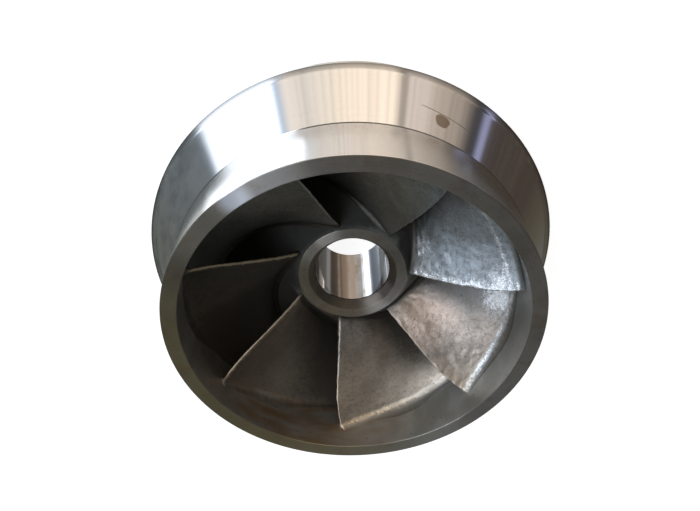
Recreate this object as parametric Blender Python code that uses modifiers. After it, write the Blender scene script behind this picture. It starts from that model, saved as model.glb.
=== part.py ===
"""Closed mixed-flow pump impeller with seven twisted vanes.

The impeller stands on the rear face of its hub with the suction eye facing up.
Metres, +Z up. The origin is on the shaft axis at the rear face of the hub.
Heights on the drawing are given as depths below the machined face of the eye ring.
"""
import math

import bmesh
import bpy
from mathutils import Vector

# Driving dimensions of the whole impeller
OVERALL_HEIGHT = 0.163
CLEARANCE = 0.0003
TURNED_STEPS = 80
EDGE_BREAK = 0.0008
SHARP_ANGLE = 40.0

# Eye ring, the machined land that runs in the wear ring of the casing
EYE_OUTER_RADIUS = 0.160
EYE_INNER_RADIUS = 0.1465
EYE_RING_DEPTH = 0.0562
CREASE_CHAMFER = 0.0007

# Front shroud, a cone that flares from the eye ring to the outlet rim
FLARE_START_DEPTH = 0.046
FLARE_CONTROL_DEPTH = 0.0613
CONE_END_RADIUS = 0.1855
CONE_END_DEPTH = 0.104
RIM_RADIUS = 0.190
RIM_DEPTH = 0.108
RIM_INNER_RADIUS = 0.183

# Hub and back shroud
HUB_FACE_DEPTH = 0.078
HUB_FACE_OUTER_RADIUS = 0.050
HUB_FACE_INNER_RADIUS = 0.041
BORE_RADIUS = 0.035
BORE_CHAMFER_DEPTH = 0.0865
HUB_RADIUS = 0.060
FLARE_LINE_START = (0.0525, 0.080)
FLARE_LINE_CONTROL = (0.0707, 0.1154)
FLARE_LINE_END = (0.1745, 0.151)
BACK_FACE_DEPTH = 0.160
BACK_FACE_INNER_RADIUS = 0.152
RECESS_START_DEPTH = 0.113
RECESS_CONTROL = (0.078, 0.135)

# Vanes. Angles are in degrees about the shaft axis, seen from above.
VANE_COUNT = 7
FIRST_VANE_ANGLE = -28.4
VANE_HALF_THICKNESS = 0.0026
VANE_EDGE_HALF_THICKNESS = 0.0010
VANE_THICKENING_SHARE = 0.10
VANE_GAP = 0.0004
VANE_WRAP = 105.0
VANE_SPAN_POINTS = 9
VANE_CHORD_POINTS = 25
LEADING_EDGE_WALL_DEPTH = 0.0243
LEADING_EDGE_HUB_DEPTH = 0.0808
LEADING_EDGE_SWEEP = 8.9
LEADING_EDGE_BOW = 0.0165
LEADING_EDGE_TWIST = 1.64
LEADING_EDGE_SKEW = 8.4
TRAILING_EDGE_INSET = 0.003

# Straight runs that each curved stretch of a profile is cut into
EYE_WALL_RUNS = 3
SHROUD_WALL_RUNS = 8
HUB_FLOW_RUNS = 4
WEB_FLOW_RUNS = 10
RECESS_RUNS = 7
ROOT_LINE_RUNS = 40
EYE_STRAIGHT_RUNS = 8

# The vane root on the front shroud climbs fast at first and then runs nearly level
WALL_FAST_RISE = 0.025
WALL_RISE_ANGLE = 12.0
WALL_LATE_POWER = 3.0
HUB_RISE_PER_DEGREE = 0.0005


def height(depth):
    """Height above the rear face for a depth below the eye ring face."""
    return OVERALL_HEIGHT - depth


def curve_point(start, control, end, t):
    """Point of a quadratic curve in the plane of radius and depth."""
    u = 1.0 - t
    return tuple(u * u * a + 2.0 * u * t * b + t * t * c for a, b, c in zip(start, control, end))


def curve_parameter(start, control, end, value, axis):
    """Parameter at which the curve reaches a radius (axis 0) or a depth (axis 1)."""
    square = start[axis] - 2.0 * control[axis] + end[axis]
    linear = 2.0 * (control[axis] - start[axis])
    constant = start[axis] - value
    root = math.sqrt(linear * linear - 4.0 * square * constant)
    return (-linear + root) / (2.0 * square)


WALL_CURVE = (
    (EYE_INNER_RADIUS, FLARE_START_DEPTH),
    (EYE_INNER_RADIUS, FLARE_CONTROL_DEPTH),
    (RIM_INNER_RADIUS, RIM_DEPTH),
)
HUB_CURVE = (FLARE_LINE_START, FLARE_LINE_CONTROL, FLARE_LINE_END)
RECESS_CURVE = (
    (HUB_RADIUS, RECESS_START_DEPTH),
    RECESS_CONTROL,
    (BACK_FACE_INNER_RADIUS, BACK_FACE_DEPTH),
)


def curve_run(curve, t_from, t_to, pieces):
    """Points along part of a curve, both ends included."""
    return [curve_point(*curve, t_from + (t_to - t_from) * i / pieces) for i in range(pieces + 1)]


def make_collection(name):
    collection = bpy.data.collections.new(name)
    bpy.context.scene.collection.children.link(collection)
    return collection


def make_material(name, colour, roughness, metallic):
    """Principled material with one colour."""
    material = bpy.data.materials.new(name)
    material.use_nodes = True
    shader = material.node_tree.nodes["Principled BSDF"]
    shader.inputs["Base Color"].default_value = (*colour, 1.0)
    shader.inputs["Roughness"].default_value = roughness
    shader.inputs["Metallic"].default_value = metallic
    material.diffuse_color = (*colour, 1.0)
    return material


def add_object(name, mesh, material, collection):
    mesh.materials.append(material)
    piece = bpy.data.objects.new(name, mesh)
    collection.objects.link(piece)
    return piece


def turned_piece(name, profile, material, collection, steps):
    """Solid of revolution about the shaft axis from a closed outline of radius and depth.

    The outline runs down the outer side and comes back up the inner side.
    """
    mesh = bpy.data.meshes.new(name)
    points = [(radius, 0.0, height(depth)) for radius, depth in profile]
    count = len(points)
    edges = [(i, (i + 1) % count) for i in range(count)]
    mesh.from_pydata(points, edges, [])
    mesh.update()
    piece = add_object(name, mesh, material, collection)
    screw = piece.modifiers.new("Turn", "SCREW")
    screw.axis = "Z"
    screw.angle = math.tau
    screw.steps = steps
    screw.render_steps = steps
    screw.use_merge_vertices = True
    screw.merge_threshold = 0.00001
    screw.use_smooth_shade = True
    return piece


def eye_ring_profile():
    """Plain ring with broken edges and a small chamfer that makes the crease line below it."""
    split = curve_parameter(*WALL_CURVE, EYE_RING_DEPTH, 1)
    inner = curve_run(WALL_CURVE, split, 0.0, EYE_WALL_RUNS)
    outer = [
        (EYE_OUTER_RADIUS - EDGE_BREAK, 0.0),
        (EYE_OUTER_RADIUS, EDGE_BREAK),
        (EYE_OUTER_RADIUS, EYE_RING_DEPTH - CREASE_CHAMFER),
        (EYE_OUTER_RADIUS - CREASE_CHAMFER, EYE_RING_DEPTH),
    ]
    top = [(EYE_INNER_RADIUS, EDGE_BREAK), (EYE_INNER_RADIUS + EDGE_BREAK, 0.0)]
    return outer + inner + top


def front_shroud_profile():
    """Cone outside, smooth flare inside, with a short steeper band at the rim."""
    start_depth = EYE_RING_DEPTH + CLEARANCE
    split = curve_parameter(*WALL_CURVE, start_depth, 1)
    inner = curve_run(WALL_CURVE, 1.0, split, SHROUD_WALL_RUNS)
    outer = [
        (EYE_OUTER_RADIUS - CREASE_CHAMFER, start_depth),
        (EYE_OUTER_RADIUS + CREASE_CHAMFER, start_depth + CREASE_CHAMFER),
        (CONE_END_RADIUS, CONE_END_DEPTH),
        (RIM_RADIUS, RIM_DEPTH - EDGE_BREAK),
        (RIM_RADIUS - EDGE_BREAK, RIM_DEPTH),
    ]
    return outer + inner


def hub_profile():
    """Boss with the shaft bore, its countersunk mouth and the start of the flow surface."""
    split = curve_parameter(*HUB_CURVE, HUB_RADIUS - CLEARANCE, 0)
    flow = curve_run(HUB_CURVE, 0.0, split, HUB_FLOW_RUNS)
    return (
        [(HUB_FACE_OUTER_RADIUS, HUB_FACE_DEPTH)]
        + flow
        + [
            (HUB_RADIUS - CLEARANCE, OVERALL_HEIGHT - EDGE_BREAK),
            (HUB_RADIUS - CLEARANCE - EDGE_BREAK, OVERALL_HEIGHT),
            (BORE_RADIUS + EDGE_BREAK, OVERALL_HEIGHT),
            (BORE_RADIUS, OVERALL_HEIGHT - EDGE_BREAK),
            (BORE_RADIUS, BORE_CHAMFER_DEPTH),
            (HUB_FACE_INNER_RADIUS, HUB_FACE_DEPTH),
        ]
    )


def back_shroud_profile():
    """Web that flares from the hub to the outlet, hollowed behind, with a flat rear rim."""
    split = curve_parameter(*HUB_CURVE, HUB_RADIUS, 0)
    flow = curve_run(HUB_CURVE, split, 1.0, WEB_FLOW_RUNS)
    behind = curve_run(RECESS_CURVE, 1.0, 0.0, RECESS_RUNS)
    rim = [
        (FLARE_LINE_END[0], BACK_FACE_DEPTH - EDGE_BREAK),
        (FLARE_LINE_END[0] - EDGE_BREAK, BACK_FACE_DEPTH),
    ]
    return flow + rim + behind


def measured_line(points):
    """Distance along a line of points, kept with the points."""
    lengths = [0.0]
    for before, after in zip(points, points[1:]):
        lengths.append(lengths[-1] + math.dist(before, after))
    return points, lengths


def point_at(line, distance):
    """Point at a distance along a measured line, carried on straight past either end."""
    points, lengths = line
    index = 0
    while index < len(points) - 2 and lengths[index + 1] < distance:
        index += 1
    share = (distance - lengths[index]) / (lengths[index + 1] - lengths[index])
    before = points[index]
    after = points[index + 1]
    return tuple(a + (b - a) * share for a, b in zip(before, after))


def shifted_line(line_points, offset):
    """The same line moved sideways in the plane of radius and depth."""
    moved = []
    last = len(line_points) - 1
    for index, (radius, depth) in enumerate(line_points):
        before = line_points[max(index - 1, 0)]
        after = line_points[min(index + 1, last)]
        run = math.dist(before, after)
        across = ((before[1] - after[1]) / run, (after[0] - before[0]) / run)
        moved.append((radius + offset * across[0], depth + offset * across[1]))
    return moved


def wall_root_line():
    """Line of the vane roots on the front shroud: straight down the eye, then along the flare."""
    drop = FLARE_START_DEPTH - LEADING_EDGE_WALL_DEPTH
    straight = [
        (EYE_INNER_RADIUS, LEADING_EDGE_WALL_DEPTH + drop * i / EYE_STRAIGHT_RUNS)
        for i in range(EYE_STRAIGHT_RUNS)
    ]
    flare = curve_run(WALL_CURVE, 0.0, 1.0, ROOT_LINE_RUNS)
    return measured_line(shifted_line(straight + flare, VANE_GAP))


def hub_root_line():
    """Line of the vane roots along the hub and the back shroud."""
    start = curve_parameter(*HUB_CURVE, LEADING_EDGE_HUB_DEPTH, 1)
    flow = curve_run(HUB_CURVE, start, 1.0, ROOT_LINE_RUNS)
    return measured_line(shifted_line(flow, -VANE_GAP))


WALL_LINE = wall_root_line()
HUB_LINE = hub_root_line()


def wall_run(angle):
    """Distance of the vane root along the front shroud, for an angle behind the leading edge."""
    total = WALL_LINE[1][-1] - TRAILING_EDGE_INSET
    fast = WALL_FAST_RISE * (1.0 - math.exp(-angle / WALL_RISE_ANGLE))
    end_fast = WALL_FAST_RISE * (1.0 - math.exp(-VANE_WRAP / WALL_RISE_ANGLE))
    share = math.copysign(abs(angle / VANE_WRAP) ** WALL_LATE_POWER, angle)
    return fast + (total - end_fast) * share


def hub_run(angle):
    """Distance of the vane root along the hub, for an angle behind the leading edge."""
    total = HUB_LINE[1][-1] - TRAILING_EDGE_INSET
    late = total - HUB_RISE_PER_DEGREE * VANE_WRAP
    share = math.copysign((angle / VANE_WRAP) ** 2, angle)
    return HUB_RISE_PER_DEGREE * angle + late * share


def meridian_point(span, angle):
    """Radius and depth of the vane's middle surface. Span is 0 at the hub and 1 at the shroud."""
    hub = point_at(HUB_LINE, hub_run(angle))
    wall = point_at(WALL_LINE, wall_run(angle))
    fade = (1.0 - max(angle, 0.0) / VANE_WRAP) ** 2
    bow = LEADING_EDGE_BOW * span * (1.0 - span) * fade
    radius = hub[0] + (wall[0] - hub[0]) * span
    depth = hub[1] + (wall[1] - hub[1]) * span - bow
    return radius, depth


def edge_angle(span):
    """Angle of the leading edge at a span, before the wrap is added."""
    middle = span * (1.0 - span)
    curl = LEADING_EDGE_TWIST + LEADING_EDGE_SKEW * (1.0 - 2.0 * span)
    return LEADING_EDGE_SWEEP * span + curl * middle


def vane_point(span, wrap, turn):
    """Point in space at a span, an angle behind the leading edge and a turn about the axis."""
    radius, depth = meridian_point(span, wrap)
    angle = math.radians(turn + edge_angle(span) + wrap)
    return Vector((radius * math.cos(angle), radius * math.sin(angle), height(depth)))


# Steps for slopes on the vane's middle surface, and the least lean that a skin is moved at
STEP_ANGLE = 0.5
STEP_SPAN = 0.01
LEAST_LEAN = 0.35


def half_thickness(share):
    """Half of the vane's thickness: slim at the leading and trailing edges."""
    near_edge = min(share, 1.0 - share) / VANE_THICKENING_SHARE
    swell = math.sin(0.5 * math.pi * min(near_edge, 1.0))
    return VANE_EDGE_HALF_THICKNESS + (VANE_HALF_THICKNESS - VANE_EDGE_HALF_THICKNESS) * swell


def side_point(span, share, side, turn):
    """Point on one side of the vane, moved along the surface that the span line sweeps."""
    wrap = share * VANE_WRAP
    here = vane_point(span, wrap, 0.0)
    ahead = vane_point(span, wrap + STEP_ANGLE, 0.0) - vane_point(span, wrap - STEP_ANGLE, 0.0)
    low = max(span - STEP_SPAN, 0.0)
    high = min(span + STEP_SPAN, 1.0)
    across = vane_point(high, wrap, 0.0) - vane_point(low, wrap, 0.0)
    normal = across.cross(ahead).normalized()
    around = Vector((-here.y, here.x, 0.0)).normalized()
    radius_after, depth_after = meridian_point(span, wrap + STEP_ANGLE)
    radius_before, depth_before = meridian_point(span, wrap - STEP_ANGLE)
    run = math.hypot(radius_after - radius_before, depth_after - depth_before)
    arc = math.radians(2.0 * STEP_ANGLE) * math.hypot(here.x, here.y)
    length = math.hypot(run, arc)
    outward = Vector((here.x, here.y, 0.0)).normalized()
    along = (outward * (radius_after - radius_before) - Vector((0.0, 0.0, depth_after - depth_before))) / run
    sideways = (along * -arc + around * run) / length
    lean = max(abs(sideways.dot(normal)), LEAST_LEAN)
    shift = side * half_thickness(share) / lean
    wrap_shift = -shift * arc / length / run * 2.0 * STEP_ANGLE
    angle_shift = math.degrees(shift * run / length / math.hypot(here.x, here.y)) - wrap_shift
    return vane_point(span, wrap + wrap_shift, turn + angle_shift)


def vane_mesh(name, turn):
    """Loft of one vane: two skins of unlike sections joined round their four edges."""
    cage = bmesh.new()
    skins = {}
    for side in (-1, 1):
        skins[side] = [
            [
                cage.verts.new(
                    side_point(i / (VANE_SPAN_POINTS - 1), j / (VANE_CHORD_POINTS - 1), side, turn)
                )
                for j in range(VANE_CHORD_POINTS)
            ]
            for i in range(VANE_SPAN_POINTS)
        ]
    for side in (-1, 1):
        grid = skins[side]
        for i in range(VANE_SPAN_POINTS - 1):
            for j in range(VANE_CHORD_POINTS - 1):
                cage.faces.new((grid[i][j], grid[i][j + 1], grid[i + 1][j + 1], grid[i + 1][j]))
    last_span = VANE_SPAN_POINTS - 1
    last_chord = VANE_CHORD_POINTS - 1
    for i in (0, last_span):
        for j in range(last_chord):
            cage.faces.new((skins[-1][i][j], skins[-1][i][j + 1], skins[1][i][j + 1], skins[1][i][j]))
    for j in (0, last_chord):
        for i in range(last_span):
            cage.faces.new((skins[-1][i][j], skins[-1][i + 1][j], skins[1][i + 1][j], skins[1][i][j]))
    bmesh.ops.recalc_face_normals(cage, faces=cage.faces)
    mesh = bpy.data.meshes.new(name)
    cage.to_mesh(mesh)
    cage.free()
    mesh.shade_smooth()
    mesh.set_sharp_from_angle(angle=math.radians(SHARP_ANGLE))
    return mesh


def build():
    for old in list(bpy.data.objects):
        bpy.data.objects.remove(old, do_unlink=True)
    impeller = make_collection("closed_impeller")
    turned_steel = make_material("turned_steel", (0.55, 0.53, 0.50), 0.32, 1.0)
    ring_steel = make_material("ring_face_steel", (0.30, 0.29, 0.27), 0.42, 1.0)
    hub_steel = make_material("hub_steel", (0.26, 0.25, 0.22), 0.45, 1.0)
    web_steel = make_material("cast_web_steel", (0.16, 0.16, 0.15), 0.60, 0.8)
    turned_piece("eye_ring", eye_ring_profile(), ring_steel, impeller, TURNED_STEPS)
    turned_piece("front_shroud", front_shroud_profile(), turned_steel, impeller, TURNED_STEPS)
    turned_piece("hub", hub_profile(), hub_steel, impeller, TURNED_STEPS)
    turned_piece("back_shroud", back_shroud_profile(), web_steel, impeller, TURNED_STEPS)
    for index in range(VANE_COUNT):
        name = f"vane_{index + 1}"
        shade = 0.24 + 0.03 * index
        steel = make_material(f"cast_vane_steel_{index + 1}", (shade, shade * 0.97, shade * 0.92), 0.55, 0.85)
        turn = FIRST_VANE_ANGLE + index * 360.0 / VANE_COUNT
        add_object(name, vane_mesh(name, turn), steel, impeller)


build()
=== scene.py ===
# %% [markdown]
# A closed pump impeller is one steel casting: a machined ring round the suction eye, a front shroud
# that flares to the outlet, a bored hub, a back shroud and seven twisted vanes between them.
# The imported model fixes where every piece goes. This lesson dresses it: smooth turned surfaces,
# vanes with fillets and cast skin, and the finish of each kind of steel.

# %% Load the frame and keep its box
import math
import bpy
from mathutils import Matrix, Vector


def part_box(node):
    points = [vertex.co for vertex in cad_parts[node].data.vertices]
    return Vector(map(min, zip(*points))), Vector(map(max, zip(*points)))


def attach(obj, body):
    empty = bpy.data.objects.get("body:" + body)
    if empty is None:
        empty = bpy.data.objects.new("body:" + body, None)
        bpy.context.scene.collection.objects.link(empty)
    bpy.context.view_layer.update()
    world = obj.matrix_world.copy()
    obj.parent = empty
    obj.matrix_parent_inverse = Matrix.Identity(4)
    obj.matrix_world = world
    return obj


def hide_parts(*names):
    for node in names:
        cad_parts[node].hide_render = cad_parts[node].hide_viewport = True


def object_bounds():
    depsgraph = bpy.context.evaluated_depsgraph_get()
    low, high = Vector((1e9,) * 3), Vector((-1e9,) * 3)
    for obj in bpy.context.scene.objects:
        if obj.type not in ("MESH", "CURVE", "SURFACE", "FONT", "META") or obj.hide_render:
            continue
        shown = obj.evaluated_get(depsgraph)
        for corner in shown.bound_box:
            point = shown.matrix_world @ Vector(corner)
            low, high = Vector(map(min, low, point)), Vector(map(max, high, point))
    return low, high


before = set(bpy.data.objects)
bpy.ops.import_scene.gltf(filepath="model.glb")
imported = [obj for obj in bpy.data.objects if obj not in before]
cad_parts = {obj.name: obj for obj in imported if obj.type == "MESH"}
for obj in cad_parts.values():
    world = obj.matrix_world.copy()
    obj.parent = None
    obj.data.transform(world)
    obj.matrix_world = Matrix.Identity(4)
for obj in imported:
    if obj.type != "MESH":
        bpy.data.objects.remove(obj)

from types import SimpleNamespace

import bpy
import numpy as np
from mathutils import Matrix, Vector

CAD_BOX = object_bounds()
TOP = CAD_BOX[1].z
print("CAD box", [round(v, 4) for v in CAD_BOX[0]], [round(v, 4) for v in CAD_BOX[1]])

# %% [markdown]
# The photo was taken from a little in front of the impeller and above it, with the camera almost
# upside down, so the near side of the cone is at the top of the picture. A camera is placed by three
# directions: what is to the right in the picture, what is up in it, and where it looks.

# %% Camera at the photo's angle
PHOTO_WIDTH = 700.0
SENSOR_WIDTH = 36.0
FOCAL_LENGTH_IN_PIXELS = 656.5
CAMERA_PLACE = Vector((0.0016, -0.3600, 0.5785))
CAMERA_TILT = math.radians(34.41)
CAMERA_ROLL = math.radians(-2.40)


def place_camera():
    """Camera that looks down into the eye, turned so that the near side is at the top."""
    tilt_sine = math.sin(CAMERA_TILT)
    tilt_cosine = math.cos(CAMERA_TILT)
    roll_sine = math.sin(CAMERA_ROLL)
    roll_cosine = math.cos(CAMERA_ROLL)
    right = Vector((-roll_cosine, -tilt_cosine * roll_sine, -tilt_sine * roll_sine))
    down = Vector((-roll_sine, tilt_cosine * roll_cosine, tilt_sine * roll_cosine))
    forward = Vector((0.0, tilt_sine, -tilt_cosine))
    data = bpy.data.cameras.new("photo_camera")
    data.sensor_width = SENSOR_WIDTH
    data.lens = SENSOR_WIDTH * FOCAL_LENGTH_IN_PIXELS / PHOTO_WIDTH
    camera = bpy.data.objects.new("photo_camera", data)
    bpy.context.scene.collection.objects.link(camera)
    axes = Matrix((right, -down, -forward)).transposed().to_4x4()
    camera.matrix_world = Matrix.Translation(CAMERA_PLACE) @ axes
    bpy.context.scene.camera = camera
    return camera


camera = place_camera()
print("lens", round(camera.data.lens, 2), "mm")

# %% [markdown]
# Operators act on everything that is selected, so each step starts from an empty selection. A
# finished piece keeps its place in its mesh, with its object at the origin.

# %% Small helpers for modelling


def select_nothing():
    """Leave edit mode and empty the selection."""
    active = bpy.context.view_layer.objects.active
    if active is not None and active.mode != "OBJECT":
        bpy.ops.object.mode_set(mode="OBJECT")
    bpy.ops.object.select_all(action="DESELECT")


def pick(piece):
    """Make one object the only selected and the active one."""
    select_nothing()
    piece.select_set(True)
    bpy.context.view_layer.objects.active = piece


def apply_place(piece):
    """Move the object's place, turn and scale into its mesh."""
    pick(piece)
    bpy.ops.object.transform_apply(location=True, rotation=True, scale=True)


def apply_modifiers(piece):
    """Apply every modifier in order."""
    pick(piece)
    for modifier in list(piece.modifiers):
        bpy.ops.object.modifier_apply(modifier=modifier.name)


def triangles(piece):
    """Number of triangles in a piece."""
    piece.data.calc_loop_triangles()
    return len(piece.data.loop_triangles)


# %% [markdown]
# Colours are written as they look on screen, as sRGB hex, and turned to the linear values that
# light is computed with. One function adds any node, sets it up and feeds its inputs. An input is
# fed with a number, a hex colour, or another node, whose first output in use is then linked. A Mix
# node for colours takes its factor at input 0 and its two colours at inputs 6 and 7. Every finish is
# laid in coats over the bare metal. A coat is a mask, how strongly it covers, and its own colour.

# %% Colour and node helpers


def linear(hex_colour):
    """Linear colour, with alpha, of an sRGB hex value."""
    channels = [int(hex_colour[i : i + 2], 16) / 255.0 for i in (1, 3, 5)]
    return [c / 12.92 if c <= 0.04045 else ((c + 0.055) / 1.055) ** 2.4 for c in channels] + [1.0]


def add_node(tree, kind, inputs=(), **settings):
    """Add a shader node, set its properties, and feed its inputs in order or by name."""
    node = tree.nodes.new("ShaderNode" + kind)
    for name, value in settings.items():
        setattr(node, name, value)
    for socket, value in inputs.items() if isinstance(inputs, dict) else enumerate(inputs):
        if isinstance(value, bpy.types.Node):
            value = next(output for output in value.outputs if output.enabled)
        if isinstance(value, bpy.types.NodeSocket):
            tree.links.new(value, node.inputs[socket])
        else:
            node.inputs[socket].default_value = linear(value) if isinstance(value, str) else value
    return node


def per_metre(millimetres):
    """Texture scale for features of a real size."""
    return 1000.0 / millimetres


def fresh_material(name):
    """Empty node material and its node tree."""
    material = bpy.data.materials.new(name)
    material.use_nodes = True
    material.node_tree.nodes.clear()
    return material, material.node_tree


def surface_point(tree):
    """Place of a point, its x, y and z, its distance from the shaft axis and its angle about it."""
    place = add_node(tree, "TexCoord").outputs["Object"]
    x, y, z = add_node(tree, "SeparateXYZ", [place]).outputs
    across = add_node(tree, "CombineXYZ", [x, y])
    radius = add_node(tree, "VectorMath", [across], operation="LENGTH")
    angle = add_node(tree, "Math", [y, x], operation="ARCTAN2")
    return SimpleNamespace(place=place, x=x, y=y, z=z, radius=radius, angle=angle)


def near(tree, point, centre, reach, core):
    """One within a core round a place, falling to nothing at its reach."""
    distance = add_node(tree, "VectorMath", [point.place, centre], operation="DISTANCE")
    return add_node(tree, "MapRange", [distance, reach, core], interpolation_type="SMOOTHSTEP")


print("helpers ready, white is", linear("#ffffff"))

# %% [markdown]
# The outside of the cone and the ring's land are turned stainless steel. The lathe leaves fine
# grooves round the axis, so a highlight stretches along the cone's slope. Here that is the shader's
# anisotropy, with a tangent that runs round the axis. The grooves are about 0.2 mm apart, too fine
# to show, so they are drawn 0.9 mm apart and very shallow. Over the metal lie faint clouds of old
# oil at the left of the photo, dark groove bottoms, painted shade in the crease under the ring, the
# dulled edge of the rim, a brown spot of dried coolant and a thin scratch.

# %% Turned stainless steel
GROOVE_PITCH = 0.9
OIL_CLOUD_SIZE = 26.0
STAIN_WOBBLE_SIZE = 9.0
CREASE_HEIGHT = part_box("eye_ring")[0].z
RIM_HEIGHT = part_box("front_shroud")[0].z
STAIN_ANGLE = math.radians(-116.8)
STAIN_RADIUS = 0.169
STAIN_HEIGHT = 0.0903
STAIN_PLACE = (STAIN_RADIUS * math.cos(STAIN_ANGLE), STAIN_RADIUS * math.sin(STAIN_ANGLE), STAIN_HEIGHT)
STAIN_HALF_WIDTH = 0.0062
SCRATCH_START_ANGLE = math.radians(-110.0)
SCRATCH_LENGTH = math.radians(15.0)
SCRATCH_START_HEIGHT = 0.0822
SCRATCH_RISE = 0.0175
SCRATCH_HALF_WIDTH = 0.00035
QUARTER_TURN = 0.25


def lathe_grooves(tree, point):
    """Uneven rings left by the lathe, on flat faces and on cylinders alike."""
    along = add_node(tree, "Math", [point.radius, point.z], operation="SUBTRACT")
    feed = {"W": along, "Scale": per_metre(GROOVE_PITCH), "Detail": 2.0, "Roughness": 0.7}
    return add_node(tree, "TexNoise", feed, noise_dimensions="1D")


def scratch_mask(tree, point):
    """One on a thin line that climbs the cone as it runs round it."""
    turned = add_node(tree, "Math", [SCRATCH_START_ANGLE, point.angle], operation="SUBTRACT")
    line = [turned, SCRATCH_RISE, SCRATCH_START_HEIGHT]
    line = add_node(tree, "Math", line, operation="MULTIPLY_ADD")
    gap = add_node(tree, "Math", [point.z, line], operation="SUBTRACT")
    gap = add_node(tree, "Math", [gap], operation="ABSOLUTE")
    thin = [gap, SCRATCH_HALF_WIDTH * 1.6, SCRATCH_HALF_WIDTH * 0.6]
    mask = add_node(tree, "MapRange", thin, interpolation_type="SMOOTHSTEP")
    for end in ([turned, 0.0, 0.02], [turned, SCRATCH_LENGTH, SCRATCH_LENGTH - 0.03]):
        mask = add_node(tree, "Math", [mask, add_node(tree, "MapRange", end)], operation="MULTIPLY")
    return mask


def finish_brushed(tree, colour, rough, stretch, **more):
    """Metal whose highlights stretch across grooves that run round the axis."""
    steel = {"Base Color": colour, "Roughness": rough, "Metallic": 1.0}
    steel["Tangent"] = add_node(tree, "Tangent", direction_type="RADIAL", axis="Z")
    steel.update({"Anisotropic": stretch, "Anisotropic Rotation": QUARTER_TURN})
    steel.update(more)
    add_node(tree, "OutputMaterial", [add_node(tree, "BsdfPrincipled", steel)])


def turned_stainless():
    """Stainless steel, turned on a lathe: bright, streaked along the slope, with faint rings."""
    material, tree = fresh_material("turned_stainless_steel")
    point = surface_point(tree)
    grooves = lathe_grooves(tree, point)
    bottoms = add_node(tree, "MapRange", [grooves, 0.45, 0.75])
    clouds = {"Vector": point.place, "Scale": per_metre(OIL_CLOUD_SIZE), "Detail": 5.0, "Roughness": 0.6}
    clouds = add_node(tree, "TexNoise", clouds)
    clouds = add_node(tree, "MapRange", [clouds, 0.36, 0.68], interpolation_type="SMOOTHSTEP")
    away = add_node(tree, "MapRange", [point.x, 0.110, 0.145])
    clouds = add_node(tree, "Math", [clouds, away], operation="MULTIPLY")
    # Painted shade: the crease under the ring is darkened.
    crease_shade = add_node(tree, "Math", [point.z, CREASE_HEIGHT], operation="SUBTRACT")
    crease_shade = add_node(tree, "Math", [crease_shade], operation="ABSOLUTE")
    crease_shade = add_node(tree, "MapRange", [crease_shade, 0.0010, 0.0003])
    edge = add_node(tree, "MapRange", [point.z, RIM_HEIGHT + 0.0030, RIM_HEIGHT + 0.0006])
    wobble = {"Vector": point.place, "Scale": per_metre(STAIN_WOBBLE_SIZE), "Detail": 3.0}
    wobble = add_node(tree, "TexNoise", wobble)
    stain = add_node(tree, "VectorMath", [point.place, STAIN_PLACE], operation="DISTANCE")
    stain = add_node(tree, "Math", [wobble, 0.0036, stain], operation="MULTIPLY_ADD")
    stain = [stain, STAIN_HALF_WIDTH + 0.0023, STAIN_HALF_WIDTH + 0.0011]
    stain = add_node(tree, "MapRange", stain, interpolation_type="SMOOTHSTEP")
    coats = (
        (clouds, 0.90, "#a6a9aa"),
        (bottoms, 0.14, "#8f8a82"),
        (crease_shade, 0.55, "#4a4540"),
        (edge, 0.85, "#54524f"),
        (stain, 0.80, "#94816c"),
        (scratch_mask(tree, point), 0.70, "#6a5f52"),
    )
    rough = add_node(tree, "Math", [stain, 0.22, 0.125], operation="MULTIPLY_ADD")
    rough = add_node(tree, "Math", [edge, 0.17, rough], operation="MULTIPLY_ADD")
    bump = add_node(tree, "Bump", {"Strength": 0.05, "Distance": 0.0002, "Height": grooves})
    colour = "#d6d4d1"
    for mask, strength, tint in coats:
        factor = add_node(tree, "Math", [mask, strength], operation="MULTIPLY")
        colour = add_node(tree, "Mix", {0: factor, 6: colour, 7: tint}, data_type="RGBA")
    finish_brushed(tree, colour, rough, 0.95, Normal=bump)
    return material


TURNED_STEEL = turned_stainless()
print("made", TURNED_STEEL.name)

# %% [markdown]
# The ring's face and the hub's face were faced off with a coarser feed and have dulled since: darker
# satin steel with an olive tint of old oil film, small dark specks and warm handling marks. The
# grooves are circles on a flat face, so the window shows as one streak across the ring. The ring is
# duller at two places, and a painted highlight brightens the streak at one. The countersunk mouth of
# the bore holds brown film.

# %% Faced steel, dulled
SMEAR_SIZE = 30.0
HANDLING_MARK_SIZE = 17.0
SPECK_SIZE = 2.2
MOUTH_RADIUS = 0.0411
MOUTH_EDGE = 0.0004
# Place, reach, cover and colour of two dull smears and of one painted highlight on the window's streak.
FACE_MARKS = (
    ((-0.080, 0.131, TOP), 0.075, 0.60, "#7d7b74"),
    ((0.126, -0.088, TOP), 0.062, 0.50, "#7d7b74"),
    # Painted highlight: a near-white patch where the window's streak crosses the ring.
    ((0.0835, -0.1285, TOP), 0.018, 0.90, "#f2f7ff"),
)


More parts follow.
